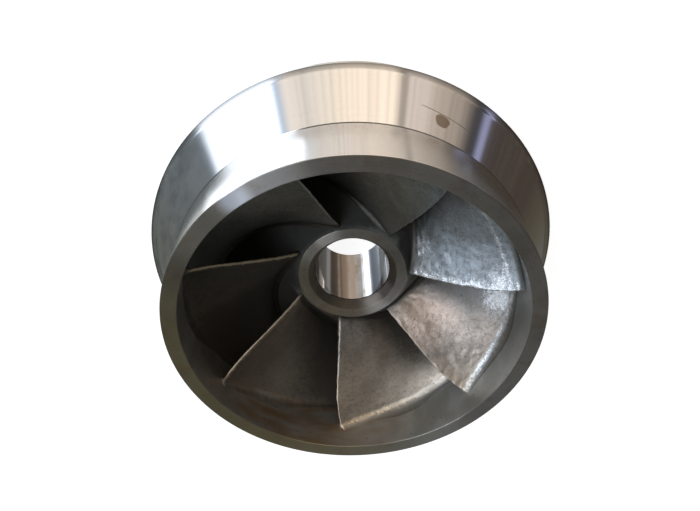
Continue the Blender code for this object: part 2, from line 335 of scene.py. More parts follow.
def faced_steel():
    """Stainless steel, faced on a lathe and dulled by handling: satin, with an oily olive tint."""
    material, tree = fresh_material("faced_dull_steel")
    point = surface_point(tree)
    grooves = lathe_grooves(tree, point)
    smears, marks, specks = (
        add_node(tree, "TexNoise", {"Vector": point.place, "Scale": per_metre(size), "Detail": detail})
        for size, detail in ((SMEAR_SIZE, 4.0), (HANDLING_MARK_SIZE, 3.0), (SPECK_SIZE, 2.0))
    )
    worn = add_node(tree, "MapRange", [smears, 0.35, 0.68], interpolation_type="SMOOTHSTEP")
    oily = add_node(tree, "Math", [point.y, 0.7, point.x], operation="MULTIPLY_ADD")
    oily = add_node(tree, "MapRange", [oily, -0.02, 0.17])
    bottoms = add_node(tree, "MapRange", [grooves, 0.50, 0.75])
    specks = add_node(tree, "MapRange", [specks, 0.66, 0.74])
    marks = add_node(tree, "MapRange", [marks, 0.52, 0.66])
    mouth = add_node(tree, "MapRange", [point.radius, MOUTH_RADIUS + MOUTH_EDGE, MOUTH_RADIUS - MOUTH_EDGE])
    coats = [
        (worn, 1.0, "#aaa8a4"),
        (oily, 0.75, "#beb284"),
        (bottoms, 0.30, "#5c5a55"),
        (specks, 0.50, "#4a463f"),
        (marks, 0.40, "#a58d7c"),
    ]
    for centre, reach, strength, tint in FACE_MARKS:
        coats.append((near(tree, point, centre, reach, 0.3 * reach), strength, tint))
    coats.append((mouth, 0.62, "#5a4a3c"))
    rough = add_node(tree, "MapRange", [smears, 0.30, 0.72, 0.30, 0.37])
    rough = add_node(tree, "Math", [mouth, 0.12, rough], operation="MULTIPLY_ADD")
    bump = add_node(tree, "Bump", {"Strength": 0.14, "Distance": 0.0002, "Height": grooves})
    colour = "#c0beba"
    for mask, strength, tint in coats:
        factor = add_node(tree, "Math", [mask, strength], operation="MULTIPLY")
        colour = add_node(tree, "Mix", {0: factor, 6: colour, 7: tint}, data_type="RGBA")
    finish_brushed(tree, colour, rough, 0.96, Normal=bump)
    return material


FACED_STEEL = faced_steel()
print("made", FACED_STEEL.name)

# %% [markdown]
# The bore is reamed to fit the shaft and is the only mirror on the part, with a little brown film.
# Long streaks run along it, some bright and some dark. They are painted reflections, drawn as tones
# of the steel, each with its angle about the axis, its half width in degrees, and its tint.

# %% Reamed bore
FILM_SIZE = 16.0
BORE_REFLECTION_STREAKS = (
    (4.0, 9.0, "#5c5854"),
    (31.0, 11.0, "#e2e5e8"),
    (45.0, 6.0, "#ffffff"),
    (59.0, 7.0, "#57504a"),
    (75.0, 8.0, "#7a6f64"),
    (90.0, 5.0, "#9a8f86"),
    (116.0, 5.0, "#f0f2f4"),
    (133.0, 13.0, "#272b31"),
    (154.0, 14.0, "#3f4449"),
)


def reamed_steel():
    """Stainless steel, reamed and polished: nearly a mirror, with painted reflection streaks and brown
    film.
    """
    material, tree = fresh_material("reamed_bore_steel")
    point = surface_point(tree)
    film = {"Vector": point.place, "Scale": per_metre(FILM_SIZE), "Detail": 3.0}
    film = add_node(tree, "TexNoise", film)
    brown = add_node(tree, "MapRange", [film, 0.40, 0.70], interpolation_type="SMOOTHSTEP")
    coats = [(brown, 1.0, "#8c7f72")]
    # Each streak is a painted reflection: a bright or dark band at its angle.
    for centre, half_width, tint in BORE_REFLECTION_STREAKS:
        gap = add_node(tree, "Math", [point.angle, math.radians(centre)], operation="SUBTRACT")
        gap = add_node(tree, "Math", [gap], operation="ABSOLUTE")
        reflection_streak = [gap, math.radians(half_width * 1.4), math.radians(half_width * 0.5)]
        reflection_streak = add_node(tree, "MapRange", reflection_streak, interpolation_type="SMOOTHSTEP")
        coats.append((reflection_streak, 1.0, tint))
    rough = add_node(tree, "MapRange", [film, 0.30, 0.70, 0.07, 0.15])
    colour = "#a09e9c"
    for mask, strength, tint in coats:
        factor = add_node(tree, "Math", [mask, strength], operation="MULTIPLY")
        colour = add_node(tree, "Mix", {0: factor, 6: colour, 7: tint}, data_type="RGBA")
    finish_brushed(tree, colour, rough, 0.55)
    return material


BORE_STEEL = reamed_steel()
print("made", BORE_STEEL.name)

# %% [markdown]
# The casting's own skin is the same on the flow walls and at the roots of the vanes: satin grey with
# small pits, darker with painted shade on the side away from the window, rusty brown in drawn-out
# smears where water stood, and nearly black deep in the passages, where residue and painted shade lie
# together, and in two pockets beside the hub, which are painted shade. This dark coat thins out
# towards the rim. It isn't metal, so it takes the metal's shine away. One function paints the skin
# for walls and vanes, so no change shows at a fillet. The plain cast side of the back shroud, outside
# the passages, carries little of it.

# %% Casting skin
WEAR_SIZE = 28.0
RESIDUE_SHADE_PATCH_SIZE = 22.0
PIT_SPACING = 8.0
RUST_SMEAR_SIZE = 15.0
RUST_SMEAR_REACH = 0.045
RUST_CENTRE = (0.066, 0.124, 0.112)
RUST_REACH = 0.150
RUST_CORE = 0.03
# Residue and painted shade grow deeper in the passages, along a slope, and fade out towards the rim.
RESIDUE_SHADE_TOP = 0.112
RESIDUE_SHADE_BOTTOM = 0.072
RESIDUE_SHADE_SLOPE = (-0.15, 0.32, 1.00)
RESIDUE_SHADE_FULL = 0.125
RESIDUE_SHADE_END = 0.160
# Two pockets of painted shade beside the hub: place and reach.
HUB_POCKET_SHADES = (
    ((0.056, -0.008, 0.066), 0.050),
    ((-0.054, -0.018, 0.076), 0.030),
)
# Painted shade on the side away from the window, from this x to the end.
SHADED_SIDE = -0.100
SHADED_SIDE_END = -0.146
CAST_GRAIN = 1.6
# Where dirt hides the metal, its oily film reflects less than a clean surface would.
DULL_FILM = 0.15


def casting_skin(tree, point, residue_and_shade_level):
    """Colour and pits of the cast surface, and how much residue and painted shade lie on it."""
    run = add_node(tree, "Math", [point.angle, RUST_SMEAR_REACH], operation="MULTIPLY")
    drawn_out = add_node(tree, "CombineXYZ", [run, point.z])
    worn, patchy, smear = (
        add_node(tree, "TexNoise", {"Vector": where, "Scale": scale, "Detail": detail, "Roughness": rough})
        for where, scale, detail, rough in (
            (point.place, per_metre(WEAR_SIZE), 4.0, 0.5),
            (point.place, per_metre(RESIDUE_SHADE_PATCH_SIZE), 5.0, 0.65),
            (drawn_out, per_metre(RUST_SMEAR_SIZE), 3.0, 0.5),
        )
    )
    pit = add_node(tree, "TexVoronoi", {"Vector": point.place, "Scale": per_metre(PIT_SPACING)})
    masks = ([worn, 0.34, 0.68], [patchy, 0.32, 0.62], [smear, 0.36, 0.64, 0.35, 1.0], [pit, 0.11, 0.05])
    worn, patchy, smear, pit = (
        add_node(tree, "MapRange", mask, interpolation_type="SMOOTHSTEP") for mask in masks
    )
    rust = near(tree, point, RUST_CENTRE, RUST_REACH, RUST_CORE)
    rust = add_node(tree, "Math", [rust, smear], operation="MULTIPLY")
    # Residue and painted shade: darker the deeper a point lies in the passages.
    shade_depth = add_node(tree, "VectorMath", [point.place, RESIDUE_SHADE_SLOPE], operation="DOT_PRODUCT")
    shade_depth = add_node(tree, "Math", [patchy, 0.012, shade_depth], operation="MULTIPLY_ADD")
    residue_and_shade = [shade_depth, RESIDUE_SHADE_TOP, RESIDUE_SHADE_BOTTOM]
    residue_and_shade = add_node(tree, "MapRange", residue_and_shade, interpolation_type="SMOOTHSTEP")
    # The pockets beside the hub are painted shade.
    for centre, reach in HUB_POCKET_SHADES:
        pocket_shade = near(tree, point, centre, reach, 0.5 * reach)
        residue_and_shade = add_node(tree, "Math", [residue_and_shade, pocket_shade], operation="MAXIMUM")
    inside = [point.radius, RESIDUE_SHADE_END, RESIDUE_SHADE_FULL, 0.2 * residue_and_shade_level, residue_and_shade_level]
    inside = add_node(tree, "MapRange", inside)
    residue_and_shade = add_node(tree, "Math", [residue_and_shade, inside], operation="MULTIPLY")
    coats = (
        (worn, 1.0, "#b6b7b2"),
        # Painted shade on the side away from the window.
        (add_node(tree, "MapRange", [point.x, SHADED_SIDE, SHADED_SIDE_END]), 0.65, "#8f928f"),
        (rust, 0.92, "#b4946f"),
        # Residue and painted shade, nearly black.
        (residue_and_shade, 0.92, "#1c1a17"),
        (pit, 0.80, "#2c2823"),
    )
    colour = "#d4d6d3"
    for mask, strength, tint in coats:
        factor = add_node(tree, "Math", [mask, strength], operation="MULTIPLY")
        colour = add_node(tree, "Mix", {0: factor, 6: colour, 7: tint}, data_type="RGBA")
    return colour, pit, residue_and_shade


def cast_wall(name, residue_and_shade_level):
    """Cast stainless steel, smoothed by grinding: grey satin with pits, rust, residue and painted shade."""
    material, tree = fresh_material(name)
    point = surface_point(tree)
    colour, pit, residue_and_shade = casting_skin(tree, point, residue_and_shade_level)
    grain = {"Vector": point.place, "Scale": per_metre(CAST_GRAIN), "Detail": 3.0, "Roughness": 0.6}
    grain = add_node(tree, "TexNoise", grain)
    rough = add_node(tree, "MapRange", [grain, 0.30, 0.70, 0.34, 0.46])
    rough = add_node(tree, "Math", [residue_and_shade, 0.16, rough], operation="MULTIPLY_ADD")
    metal = add_node(tree, "MapRange", [residue_and_shade, 0.3, 1.0, 0.95, 0.12])
    height = add_node(tree, "Math", [pit, -0.8, grain], operation="MULTIPLY_ADD")
    bump = add_node(tree, "Bump", {"Strength": 0.20, "Distance": 0.0003, "Height": height})
    steel = {"Base Color": colour, "Roughness": rough, "Metallic": metal, "Normal": bump}
    steel["Specular IOR Level"] = DULL_FILM
    add_node(tree, "OutputMaterial", [add_node(tree, "BsdfPrincipled", steel)])
    return material


WALL_STEEL = cast_wall("smoothed_cast_steel", 1.0)
WEB_STEEL = cast_wall("plain_cast_steel", 0.3)
print("made", WALL_STEEL.name, "and", WEB_STEEL.name)

# %% [markdown]
# The vanes are as cast and then ground by hand: a scratched, mottled skin with bright specks where
# the grinder touched the high spots, dark pits between them, and a bare bright leading edge. Five
# attributes on the vanes steer this: how bare the grinding laid the metal, with three painted
# highlights added to it, how near a wall a point is, how much dirt and painted shade lie on the vane,
# how dark the seam at a root is, from crevice dirt and painted shade, and a flow coordinate in metres
# for marks that run with the flow. The grit's own scratches are about 0.2 mm wide, too fine to show,
# so its strokes are drawn 1.7 mm wide and the mottle that they leave 3.6 mm. Large areas differ in
# tone: cooler at the right of the picture, and lighter and warmer low in it, which is painted light,
# with a painted warm highlight on one vane and golden bright spots at the left and low down.

# %% Ground vane steel
MOTTLE_SIZE = 3.6
MOTTLE_STRETCH = 0.9
STROKE_WIDTH = 1.7
STROKE_STRETCH = 0.28
GRIT_SIZE = 0.9
DENT_SIZE = 5.0
SHADING_SIZE = 20.0
# Place and size of a painted warm highlight on one vane.
WARM_HIGHLIGHT_CENTRE = (-0.070, 0.048, 0.092)
WARM_HIGHLIGHT_REACH = 0.040
WARM_HIGHLIGHT_CORE = 0.010
SHINE_COVER = 0.9


def ground_vane_steel():
    """Cast stainless steel, ground by hand: rough grey, with bright touched spots and dirt."""
    material, tree = fresh_material("hand_ground_cast_steel")
    point = surface_point(tree)
    flow = add_node(tree, "Attribute", attribute_name="flow").outputs["Vector"]
    # The attributes hold bare grinding with three painted highlights, dirt with painted shade, and a seam
    # of crevice dirt and painted shade.
    bare_and_glint, root, dirt, seam = (
        add_node(tree, "Attribute", attribute_name=name).outputs["Fac"]
        for name in ("bare_and_glint", "root", "dirt", "seam")
    )
    skin, pit, _ = casting_skin(tree, point, 1.0)

    stretched, combed = (
        add_node(tree, "Mapping", {"Vector": flow, "Scale": (stretch, 1.0, 1.0)})
        for stretch in (MOTTLE_STRETCH, STROKE_STRETCH)
    )
    mottle, strokes, grit, shading = (
        add_node(tree, "TexNoise", {"Vector": where, "Scale": scale, "Detail": detail, "Roughness": rough})
        for where, scale, detail, rough in (
            (stretched, per_metre(MOTTLE_SIZE), 6.0, 0.68),
            (combed, per_metre(STROKE_WIDTH), 3.0, 0.6),
            (point.place, per_metre(GRIT_SIZE), 3.0, 0.65),
            (point.place, per_metre(SHADING_SIZE), 3.0, 0.5),
        )
    )
    dents = {"Vector": point.place, "Scale": per_metre(DENT_SIZE), "Smoothness": 0.7}
    dents = add_node(tree, "TexVoronoi", dents, feature="SMOOTH_F1")

    far = add_node(tree, "MapRange", [point.x, -0.045, -0.080])
    cool = add_node(tree, "MapRange", [point.y, 0.045, 0.005])
    cool = add_node(tree, "Math", [far, cool], operation="MULTIPLY")
    # Dirt and painted shade, broken up by the mottle.
    soiled_and_shaded = add_node(tree, "Math", [mottle, 0.5, dirt], operation="MULTIPLY_ADD")
    soiled_and_shaded = add_node(tree, "MapRange", [soiled_and_shaded, 0.20, 1.10], interpolation_type="SMOOTHSTEP")
    # Bare grinding and the painted highlights turn the touched specks bright.
    touched_and_glint = bare_and_glint
    for pattern in (mottle, grit):
        touched_and_glint = add_node(tree, "Math", [pattern, 1.2, touched_and_glint], operation="MULTIPLY_ADD")
    shine = add_node(tree, "MapRange", [touched_and_glint, 1.60, 2.00], interpolation_type="SMOOTHSTEP")
    cover = add_node(tree, "Math", [shine, SHINE_COVER], operation="MULTIPLY")
    low_side = add_node(tree, "MapRange", [point.y, 0.080, 0.115])
    left_side = add_node(tree, "MapRange", [point.x, -0.010, 0.030])
    golden = add_node(tree, "Math", [low_side, left_side], operation="MAXIMUM")
    bright = add_node(tree, "Mix", {0: golden, 6: "#eaedf0", 7: "#d4c6ad"}, data_type="RGBA")
    coats = (
        # Painted light: lighter and warmer towards the low side of the picture.
        (add_node(tree, "MapRange", [point.y, -0.030, 0.030]), 1.0, "#b5aba1"),
        (cool, 1.0, "#aab4bc"),
        # A painted warm highlight on one vane.
        (near(tree, point, WARM_HIGHLIGHT_CENTRE, WARM_HIGHLIGHT_REACH, WARM_HIGHLIGHT_CORE), 1.0, "#c3b0a2"),
        # Painted light: lighter still at the very bottom of the picture.
        (add_node(tree, "MapRange", [point.y, 0.074, 0.112]), 0.80, "#e4d9c8"),
        (add_node(tree, "MapRange", [shading, 0.46, 0.64]), 0.30, "#77736c"),
        (add_node(tree, "MapRange", [mottle, 0.52, 0.36]), 0.42, "#6b665f"),
        (add_node(tree, "MapRange", [strokes, 0.46, 0.32]), 0.20, "#67635d"),
        (add_node(tree, "MapRange", [grit, 0.56, 0.68]), 0.50, "#e2dfd9"),
        (root, 1.0, skin),
        # Dirt and painted shade.
        (soiled_and_shaded, 1.0, "#4a463f"),
        # Bright bare steel, and the painted highlights.
        (cover, 1.0, bright),
        (pit, 0.50, "#3a342d"),
        # Painted shade, with crevice dirt, in the seam along each root.
        (seam, 1.0, "#34302b"),
    )
    colour = "#a3a49c"
    for mask, strength, tint in coats:
        factor = add_node(tree, "Math", [mask, strength], operation="MULTIPLY")
        colour = add_node(tree, "Mix", {0: factor, 6: colour, 7: tint}, data_type="RGBA")

    rough = add_node(tree, "MapRange", [mottle, 0.30, 0.70, 0.46, 0.34])
    for mask, change in ((shine, -0.13), (soiled_and_shaded, 0.10)):
        rough = add_node(tree, "Math", [mask, change, rough], operation="MULTIPLY_ADD")
    metal = add_node(tree, "MapRange", [soiled_and_shaded, 0.5, 1.0, 0.95, 0.50])
    metal = add_node(tree, "Math", [metal, cover], operation="MAXIMUM")
    height = grit
    for relief, depth in ((dents, 0.6), (mottle, 1.1), (strokes, 0.4), (pit, -0.8)):
        height = add_node(tree, "Math", [relief, depth, height], operation="MULTIPLY_ADD")
    strength = add_node(tree, "Math", [bare_and_glint, 0.45, 0.28], operation="MULTIPLY_ADD")
    bump = add_node(tree, "Bump", {"Strength": strength, "Distance": 0.0006, "Height": height})
    steel = {"Base Color": colour, "Roughness": rough, "Metallic": metal, "Normal": bump}
    steel["Specular IOR Level"] = DULL_FILM
    add_node(tree, "OutputMaterial", [add_node(tree, "BsdfPrincipled", steel)])
    return material


VANE_STEEL = ground_vane_steel()
print("made", VANE_STEEL.name)

# %% [markdown]
# The turned pieces share a few sizes. What the frame can say is read from its boxes; the rest are
# the drawing's own values. Depth is measured down from the eye ring's face.

# %% Sizes of the turned pieces
RING_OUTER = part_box("eye_ring")[1].x
RING_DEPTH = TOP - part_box("eye_ring")[0].z
RIM_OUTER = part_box("front_shroud")[1].x
RIM_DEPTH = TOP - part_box("front_shroud")[0].z
HUB_FACE_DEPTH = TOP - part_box("hub")[1].z
BACK_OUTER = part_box("back_shroud")[1].x
BACK_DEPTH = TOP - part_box("back_shroud")[0].z
RING_INNER = 0.1465
CREASE = 0.0007
FLARE_START_DEPTH = 0.046
FLARE_CONTROL_DEPTH = 0.0613
CONE_END_RADIUS = 0.1855
CONE_END_DEPTH = 0.104
RIM_INNER = 0.183
HUB_FACE_OUTER = 0.050
HUB_FACE_INNER = 0.041
HUB_RADIUS = 0.060
BORE_RADIUS = 0.035
BORE_MOUTH_DEPTH = 0.0865
WALL_CURVE = ((RING_INNER, FLARE_START_DEPTH), (RING_INNER, FLARE_CONTROL_DEPTH), (RIM_INNER, RIM_DEPTH))
HUB_CURVE = ((0.0525, 0.080), (0.0707, 0.1154), (BACK_OUTER, 0.151))
RECESS_CURVE = ((HUB_RADIUS, 0.113), (0.078, 0.135), (0.152, BACK_DEPTH))
RING_CORNER = 0.0007
RING_INNER_CORNER = 0.0005
CONE_END_ROUND = 0.0060
RIM_CHAMFER = 0.0008
RIM_CORNER = 0.0002
HUB_FACE_CORNER = 0.0006
HUB_FOOT_CORNER = 0.0010
BORE_CORNER = 0.0005
MOUTH_CORNER = 0.0004
BACK_RIM_CORNER = 0.0010
print("ring", round(RING_OUTER, 4), "rim", round(RIM_OUTER, 4), "back", round(BACK_OUTER, 4))

# %% [markdown]
# The flow walls are smooth curves in the plane of radius and depth. A quadratic curve with one
# control point is enough for each.

# %% Curves in the plane of radius and depth


def curve_point(curve, t):
    """Points of a quadratic curve, for one parameter or for many."""
    start, control, end = (np.array(point) for point in curve)
    t = np.asarray(t, float)[..., None]
    return (1.0 - t) ** 2 * start + 2.0 * (1.0 - t) * t * control + t**2 * end


def curve_parameter(curve, value, axis):
    """Parameter at which a curve reaches a radius (axis 0) or a depth (axis 1)."""
    start, control, end = (point[axis] for point in curve)
    square = start - 2.0 * control + end
    linear_part = 2.0 * (control - start)
    root = math.sqrt(linear_part**2 - 4.0 * square * (start - value))
    return (root - linear_part) / (2.0 * square)


def curve_run(curve, t_from, t_to, pieces):
    """Points along part of a curve, both ends included."""
    return [tuple(point) for point in curve_point(curve, np.linspace(t_from, t_to, pieces + 1))]


RING_SPLIT = curve_parameter(WALL_CURVE, RING_DEPTH, 1)
HUB_SPLIT = curve_parameter(HUB_CURVE, HUB_RADIUS, 0)
print("the walls are split at", round(RING_SPLIT, 3), "and", round(HUB_SPLIT, 3), "of their curves")

# %% [markdown]
# A turned piece is made as on a lathe: one vertex is walked round the outline by extruding it, and
# the outline is spun about the axis. Corners are rounded in the outline, and every long straight
# gets a support point near each end, so that smooth shading stays on the round edges.

# %% Lathe helpers
TURNED_STEPS = 240
ROUND_STEPS = 4
SUPPORT_GAP = 0.0006
LONG_STRAIGHT = 0.004
MERGE_DISTANCE = 0.000002
SMOOTH_ANGLE = math.radians(28.0)
INWARD_SLOPE = -0.2


def rounded(before, corner, after, radius):
    """Points of a rounded corner between two straights."""
    corner = Vector(corner)
    back = (Vector(before) - corner).normalized()
    on = (Vector(after) - corner).normalized()
    half = 0.5 * math.acos(max(-1.0, min(1.0, back.dot(on))))
    reach = radius / math.tan(half)
    centre = corner + (back + on).normalized() * radius / math.sin(half)
    first = corner + back * reach - centre
    last = corner + on * reach - centre
    turns = [first.slerp(last, i / ROUND_STEPS) for i in range(ROUND_STEPS + 1)]
    return [tuple(centre + turned.normalized() * radius) for turned in turns]


def rounded_outline(points, radii):
    """Closed outline with the named corners rounded. Radii are given by the corner's number."""
    outline = []
    count = len(points)
    for index, point in enumerate(points):
        if index in radii:
            outline += rounded(points[index - 1], point, points[(index + 1) % count], radii[index])
        else:
            outline.append(point)
    return outline


def supported(outline):
    """The same outline with support points near the ends of its long straights."""
    result = []
    for before, after in zip(outline, outline[1:] + outline[:1]):
        result.append(before)
        start = Vector(before)
        run = Vector(after) - start
        if run.length > LONG_STRAIGHT:
            step = run.normalized() * SUPPORT_GAP
            result += [tuple(start + step), tuple(start + run - step)]
    return result


def turn(name, outline):
    """Extrude one vertex round an outline of radius and depth, and spin it about the axis."""
    path = supported(outline)
    path = [Vector((radius, 0.0, TOP - depth)) for radius, depth in path + path[:1]]
    select_nothing()
    bpy.ops.mesh.primitive_plane_add(size=0.001, location=path[0])
    piece = bpy.context.object
    piece.name = name
    bpy.ops.object.mode_set(mode="EDIT")
    bpy.ops.mesh.merge(type="CENTER")
    for before, after in zip(path, path[1:]):
        bpy.ops.mesh.extrude_region_move(TRANSFORM_OT_translate={"value": after - before})
    bpy.ops.mesh.select_all(action="SELECT")
    bpy.ops.mesh.remove_doubles(threshold=MERGE_DISTANCE)
    bpy.ops.mesh.select_all(action="SELECT")
    bpy.ops.mesh.spin(steps=TURNED_STEPS, angle=math.tau, center=(0.0, 0.0, 0.0), axis=(0.0, 0.0, 1.0))
    bpy.ops.mesh.select_all(action="SELECT")
    bpy.ops.mesh.remove_doubles(threshold=MERGE_DISTANCE)
    bpy.ops.mesh.normals_make_consistent(inside=False)
    apply_place(piece)
    bpy.ops.object.shade_smooth_by_angle(angle=SMOOTH_ANGLE)
    return piece


def paint(piece, materials, chooser):
    """Give each face the material whose number the chooser returns for where it is and looks."""
    pick(piece)
    piece.data.materials.clear()
    for material in materials:
        piece.data.materials.append(material)
    for face in piece.data.polygons:
        radius = math.hypot(face.center.x, face.center.y)
        slope = (face.normal.x * face.center.x + face.normal.y * face.center.y) / radius
        spot = SimpleNamespace(radius=radius, depth=TOP - face.center.z, up=face.normal.z)
        spot.inward = slope < INWARD_SLOPE
        face.material_index = chooser(spot)


print("a full turn takes", TURNED_STEPS, "steps")

# %% [markdown]
# The eye ring has a flat face, a plain outer land that runs in the pump's wear ring, and the
# cylindrical wall of the eye inside. A small chamfer at its foot makes the crease line, which the
# turned steel darkens with painted shade.

# %% Eye ring


def make_eye_ring():
    """Turned ring with a faced top, a plain outer land and the eye's cast wall inside."""
    wall = curve_run(WALL_CURVE, RING_SPLIT, 0.0, 6)
    corners = [
        (RING_OUTER, 0.0),
        (RING_OUTER, RING_DEPTH - CREASE),
        (RING_OUTER - CREASE, RING_DEPTH),
    ] + wall + [(RING_INNER, 0.0)]
    outline = rounded_outline(corners, {0: RING_CORNER, len(corners) - 1: RING_INNER_CORNER})
    piece = turn("eye_ring_turned", outline)

    def chooser(spot):
        if spot.up > 0.5:
            return 1
        return 2 if spot.inward and spot.radius < RING_INNER + 0.006 else 0

    paint(piece, (TURNED_STEEL, FACED_STEEL, WALL_STEEL), chooser)
    return piece


eye_ring = make_eye_ring()
print(eye_ring.name, triangles(eye_ring), "triangles")

# %% [markdown]
# The front shroud is a cone outside and a flare inside, with a short steeper band at the rim. It
# starts right under the ring, because the real casting has no gap there, only the crease.

# %% Front shroud


def make_front_shroud():
    """Turned cone with a rounded step to its rim band, and the cast flare inside."""
    wall = curve_run(WALL_CURVE, 1.0, RING_SPLIT, 26)
    corners = [
        (RING_OUTER - CREASE, RING_DEPTH),
        (RING_OUTER + CREASE * 0.6, RING_DEPTH + CREASE),
        (CONE_END_RADIUS, CONE_END_DEPTH),
        (RIM_OUTER, RIM_DEPTH - RIM_CHAMFER),
        (RIM_OUTER - RIM_CHAMFER, RIM_DEPTH),
    ] + wall
    outline = rounded_outline(corners, {2: CONE_END_ROUND, 3: RIM_CORNER, 4: RIM_CORNER})
    piece = turn("front_shroud_turned", outline)

    def chooser(spot):
        return 1 if spot.inward else 0

    paint(piece, (TURNED_STEEL, WALL_STEEL), chooser)
    return piece


front_shroud = make_front_shroud()
print(front_shroud.name, triangles(front_shroud), "triangles")

# %% [markdown]
# The hub's face is a flat ring round a countersunk mouth. The bore runs right through, and the flow
# side sweeps down into the back shroud.

# %% Hub


def make_hub():
    """Boss with a faced front, a countersunk and reamed bore, and the start of the cast flow wall."""
    flow = curve_run(HUB_CURVE, 0.0, HUB_SPLIT, 8)
    corners = [(HUB_FACE_OUTER, HUB_FACE_DEPTH)] + flow + [
        (HUB_RADIUS, TOP),
        (BORE_RADIUS, TOP),
        (BORE_RADIUS, BORE_MOUTH_DEPTH),
        (HUB_FACE_INNER, HUB_FACE_DEPTH),
    ]
    last = len(corners) - 1
    radii = {0: HUB_FACE_CORNER, last - 3: HUB_FOOT_CORNER, last - 2: HUB_FOOT_CORNER}
    radii.update({last - 1: BORE_CORNER, last: MOUTH_CORNER})
    piece = turn("hub_bored", rounded_outline(corners, radii))

    def chooser(spot):
        if spot.inward and spot.radius < BORE_RADIUS + 0.0004 and spot.depth > BORE_MOUTH_DEPTH - 0.0005:
            return 1
        return 2 if spot.radius > HUB_FACE_OUTER + 0.001 and spot.depth < TOP - 0.001 else 0

    paint(piece, (FACED_STEEL, BORE_STEEL, WALL_STEEL), chooser)
    return piece


hub = make_hub()
print(hub.name, triangles(hub), "triangles")

# %% [markdown]
# The back shroud carries the flow from the hub to the outlet. Its rear is hollowed to save weight
# and ends in a flat turned rim.

# %% Back shroud


def make_back_shroud():
    """Cast web that goes on from the hub to the outlet, hollowed behind, with a turned rear rim."""
    flow = curve_run(HUB_CURVE, HUB_SPLIT, 1.0, 26)
    behind = curve_run(RECESS_CURVE, 1.0, 0.0, 18)
    corners = flow + [(BACK_OUTER, BACK_DEPTH)] + behind
    outline = rounded_outline(corners, {len(flow): BACK_RIM_CORNER})
    piece = turn("back_shroud_cast", outline)

    def chooser(spot):
        if spot.up < -0.9 and spot.depth > BACK_DEPTH - 0.0005:
            return 1
        return 0 if spot.up > 0.2 else 2

    paint(piece, (WALL_STEEL, TURNED_STEEL, WEB_STEEL), chooser)
    return piece


back_shroud = make_back_shroud()
print(back_shroud.name, triangles(back_shroud), "triangles")

# %% [markdown]
# A vane's root follows one line along the front shroud and one along the hub and back shroud. The
# roots here reach half a millimetre into the walls, because the real casting is one piece.

# %% Root lines of the vanes
ROOT_SINK = 0.0005
LEADING_EDGE_WALL_DEPTH = 0.0243
LEADING_EDGE_HUB_DEPTH = 0.0808
TRAILING_EDGE_INSET = 0.003


def measured(points):
    """Line of points with the distance along it."""
    points = np.array(points)
    steps = np.hypot(*np.diff(points, axis=0).T)
    return points, np.concatenate([[0.0], np.cumsum(steps)])


def shifted(points, offset):
    """The same line moved sideways in the plane of radius and depth."""
    points = np.array(points)
    ahead = np.concatenate([points[1:], points[-1:]])
    behind = np.concatenate([points[:1], points[:-1]])
    run = ahead - behind
    run /= np.hypot(run[:, 0], run[:, 1])[:, None]
    return points + offset * np.stack([-run[:, 1], run[:, 0]], 1)


def line_at(line, distance):
    """Points at distances along a measured line, carried on straight past either end."""
    points, lengths = line
    index = np.clip(np.searchsorted(lengths, distance, side="right") - 1, 0, len(points) - 2)
    share = (distance - lengths[index]) / (lengths[index + 1] - lengths[index])
    return points[index] + (points[index + 1] - points[index]) * share[..., None]


def root_lines():
    """Root line on the front shroud and root line on the hub and back shroud."""
    drop = FLARE_START_DEPTH - LEADING_EDGE_WALL_DEPTH
    straight = [(RING_INNER, LEADING_EDGE_WALL_DEPTH + drop * i / 8.0) for i in range(8)]
    wall = measured(shifted(straight + curve_run(WALL_CURVE, 0.0, 1.0, 40), -ROOT_SINK))
    start = curve_parameter(HUB_CURVE, LEADING_EDGE_HUB_DEPTH, 1)
    return wall, measured(shifted(curve_run(HUB_CURVE, start, 1.0, 40), ROOT_SINK))


WALL_LINE, HUB_LINE = root_lines()
print("root on the shroud", round(WALL_LINE[1][-1], 4), "m, on the hub", round(HUB_LINE[1][-1], 4), "m")

# %% [markdown]
# The middle surface of a vane is a law: for a span (0 at the hub, 1 at the shroud) and an angle
# behind the leading edge it gives a point. On the shroud the root climbs fast at first and then
# runs nearly level, which is what makes the vane look like a fan blade from the front.

# %% The law of the vane's surface
VANE_COUNT = 7
FIRST_VANE_ANGLE = -28.4
VANE_WRAP = 105.0
LEADING_EDGE_SWEEP = 8.9
LEADING_EDGE_BOW = 0.0165
LEADING_EDGE_TWIST = 1.64
LEADING_EDGE_SKEW = 8.4
WALL_FAST_RISE = 0.025
WALL_RISE_ANGLE = 12.0
HUB_RISE_PER_DEGREE = 0.0005
STEP_ANGLE = 0.5
STEP_SPAN = 0.01
LEAST_LEAN = 0.35


def wall_run(angle):
    """Distance of the root along the front shroud."""
    total = WALL_LINE[1][-1] - TRAILING_EDGE_INSET
    end_fast = WALL_FAST_RISE * (1.0 - math.exp(-VANE_WRAP / WALL_RISE_ANGLE))
    fast = WALL_FAST_RISE * (1.0 - np.exp(-angle / WALL_RISE_ANGLE))
    return fast + (total - end_fast) * (angle / VANE_WRAP) ** 3


def hub_run(angle):
    """Distance of the root along the hub."""
    total = HUB_LINE[1][-1] - TRAILING_EDGE_INSET
    late = total - HUB_RISE_PER_DEGREE * VANE_WRAP
    share = angle / VANE_WRAP
    return HUB_RISE_PER_DEGREE * angle + late * np.sign(share) * share**2


def meridian(span, angle):
    """Radius and depth on the middle surface."""
    hub_point = line_at(HUB_LINE, hub_run(angle))
    wall_point = line_at(WALL_LINE, wall_run(angle))
    fade = (1.0 - np.maximum(angle, 0.0) / VANE_WRAP) ** 2
    point = hub_point + (wall_point - hub_point) * span[..., None]
    return point[..., 0], point[..., 1] - LEADING_EDGE_BOW * span * (1.0 - span) * fade


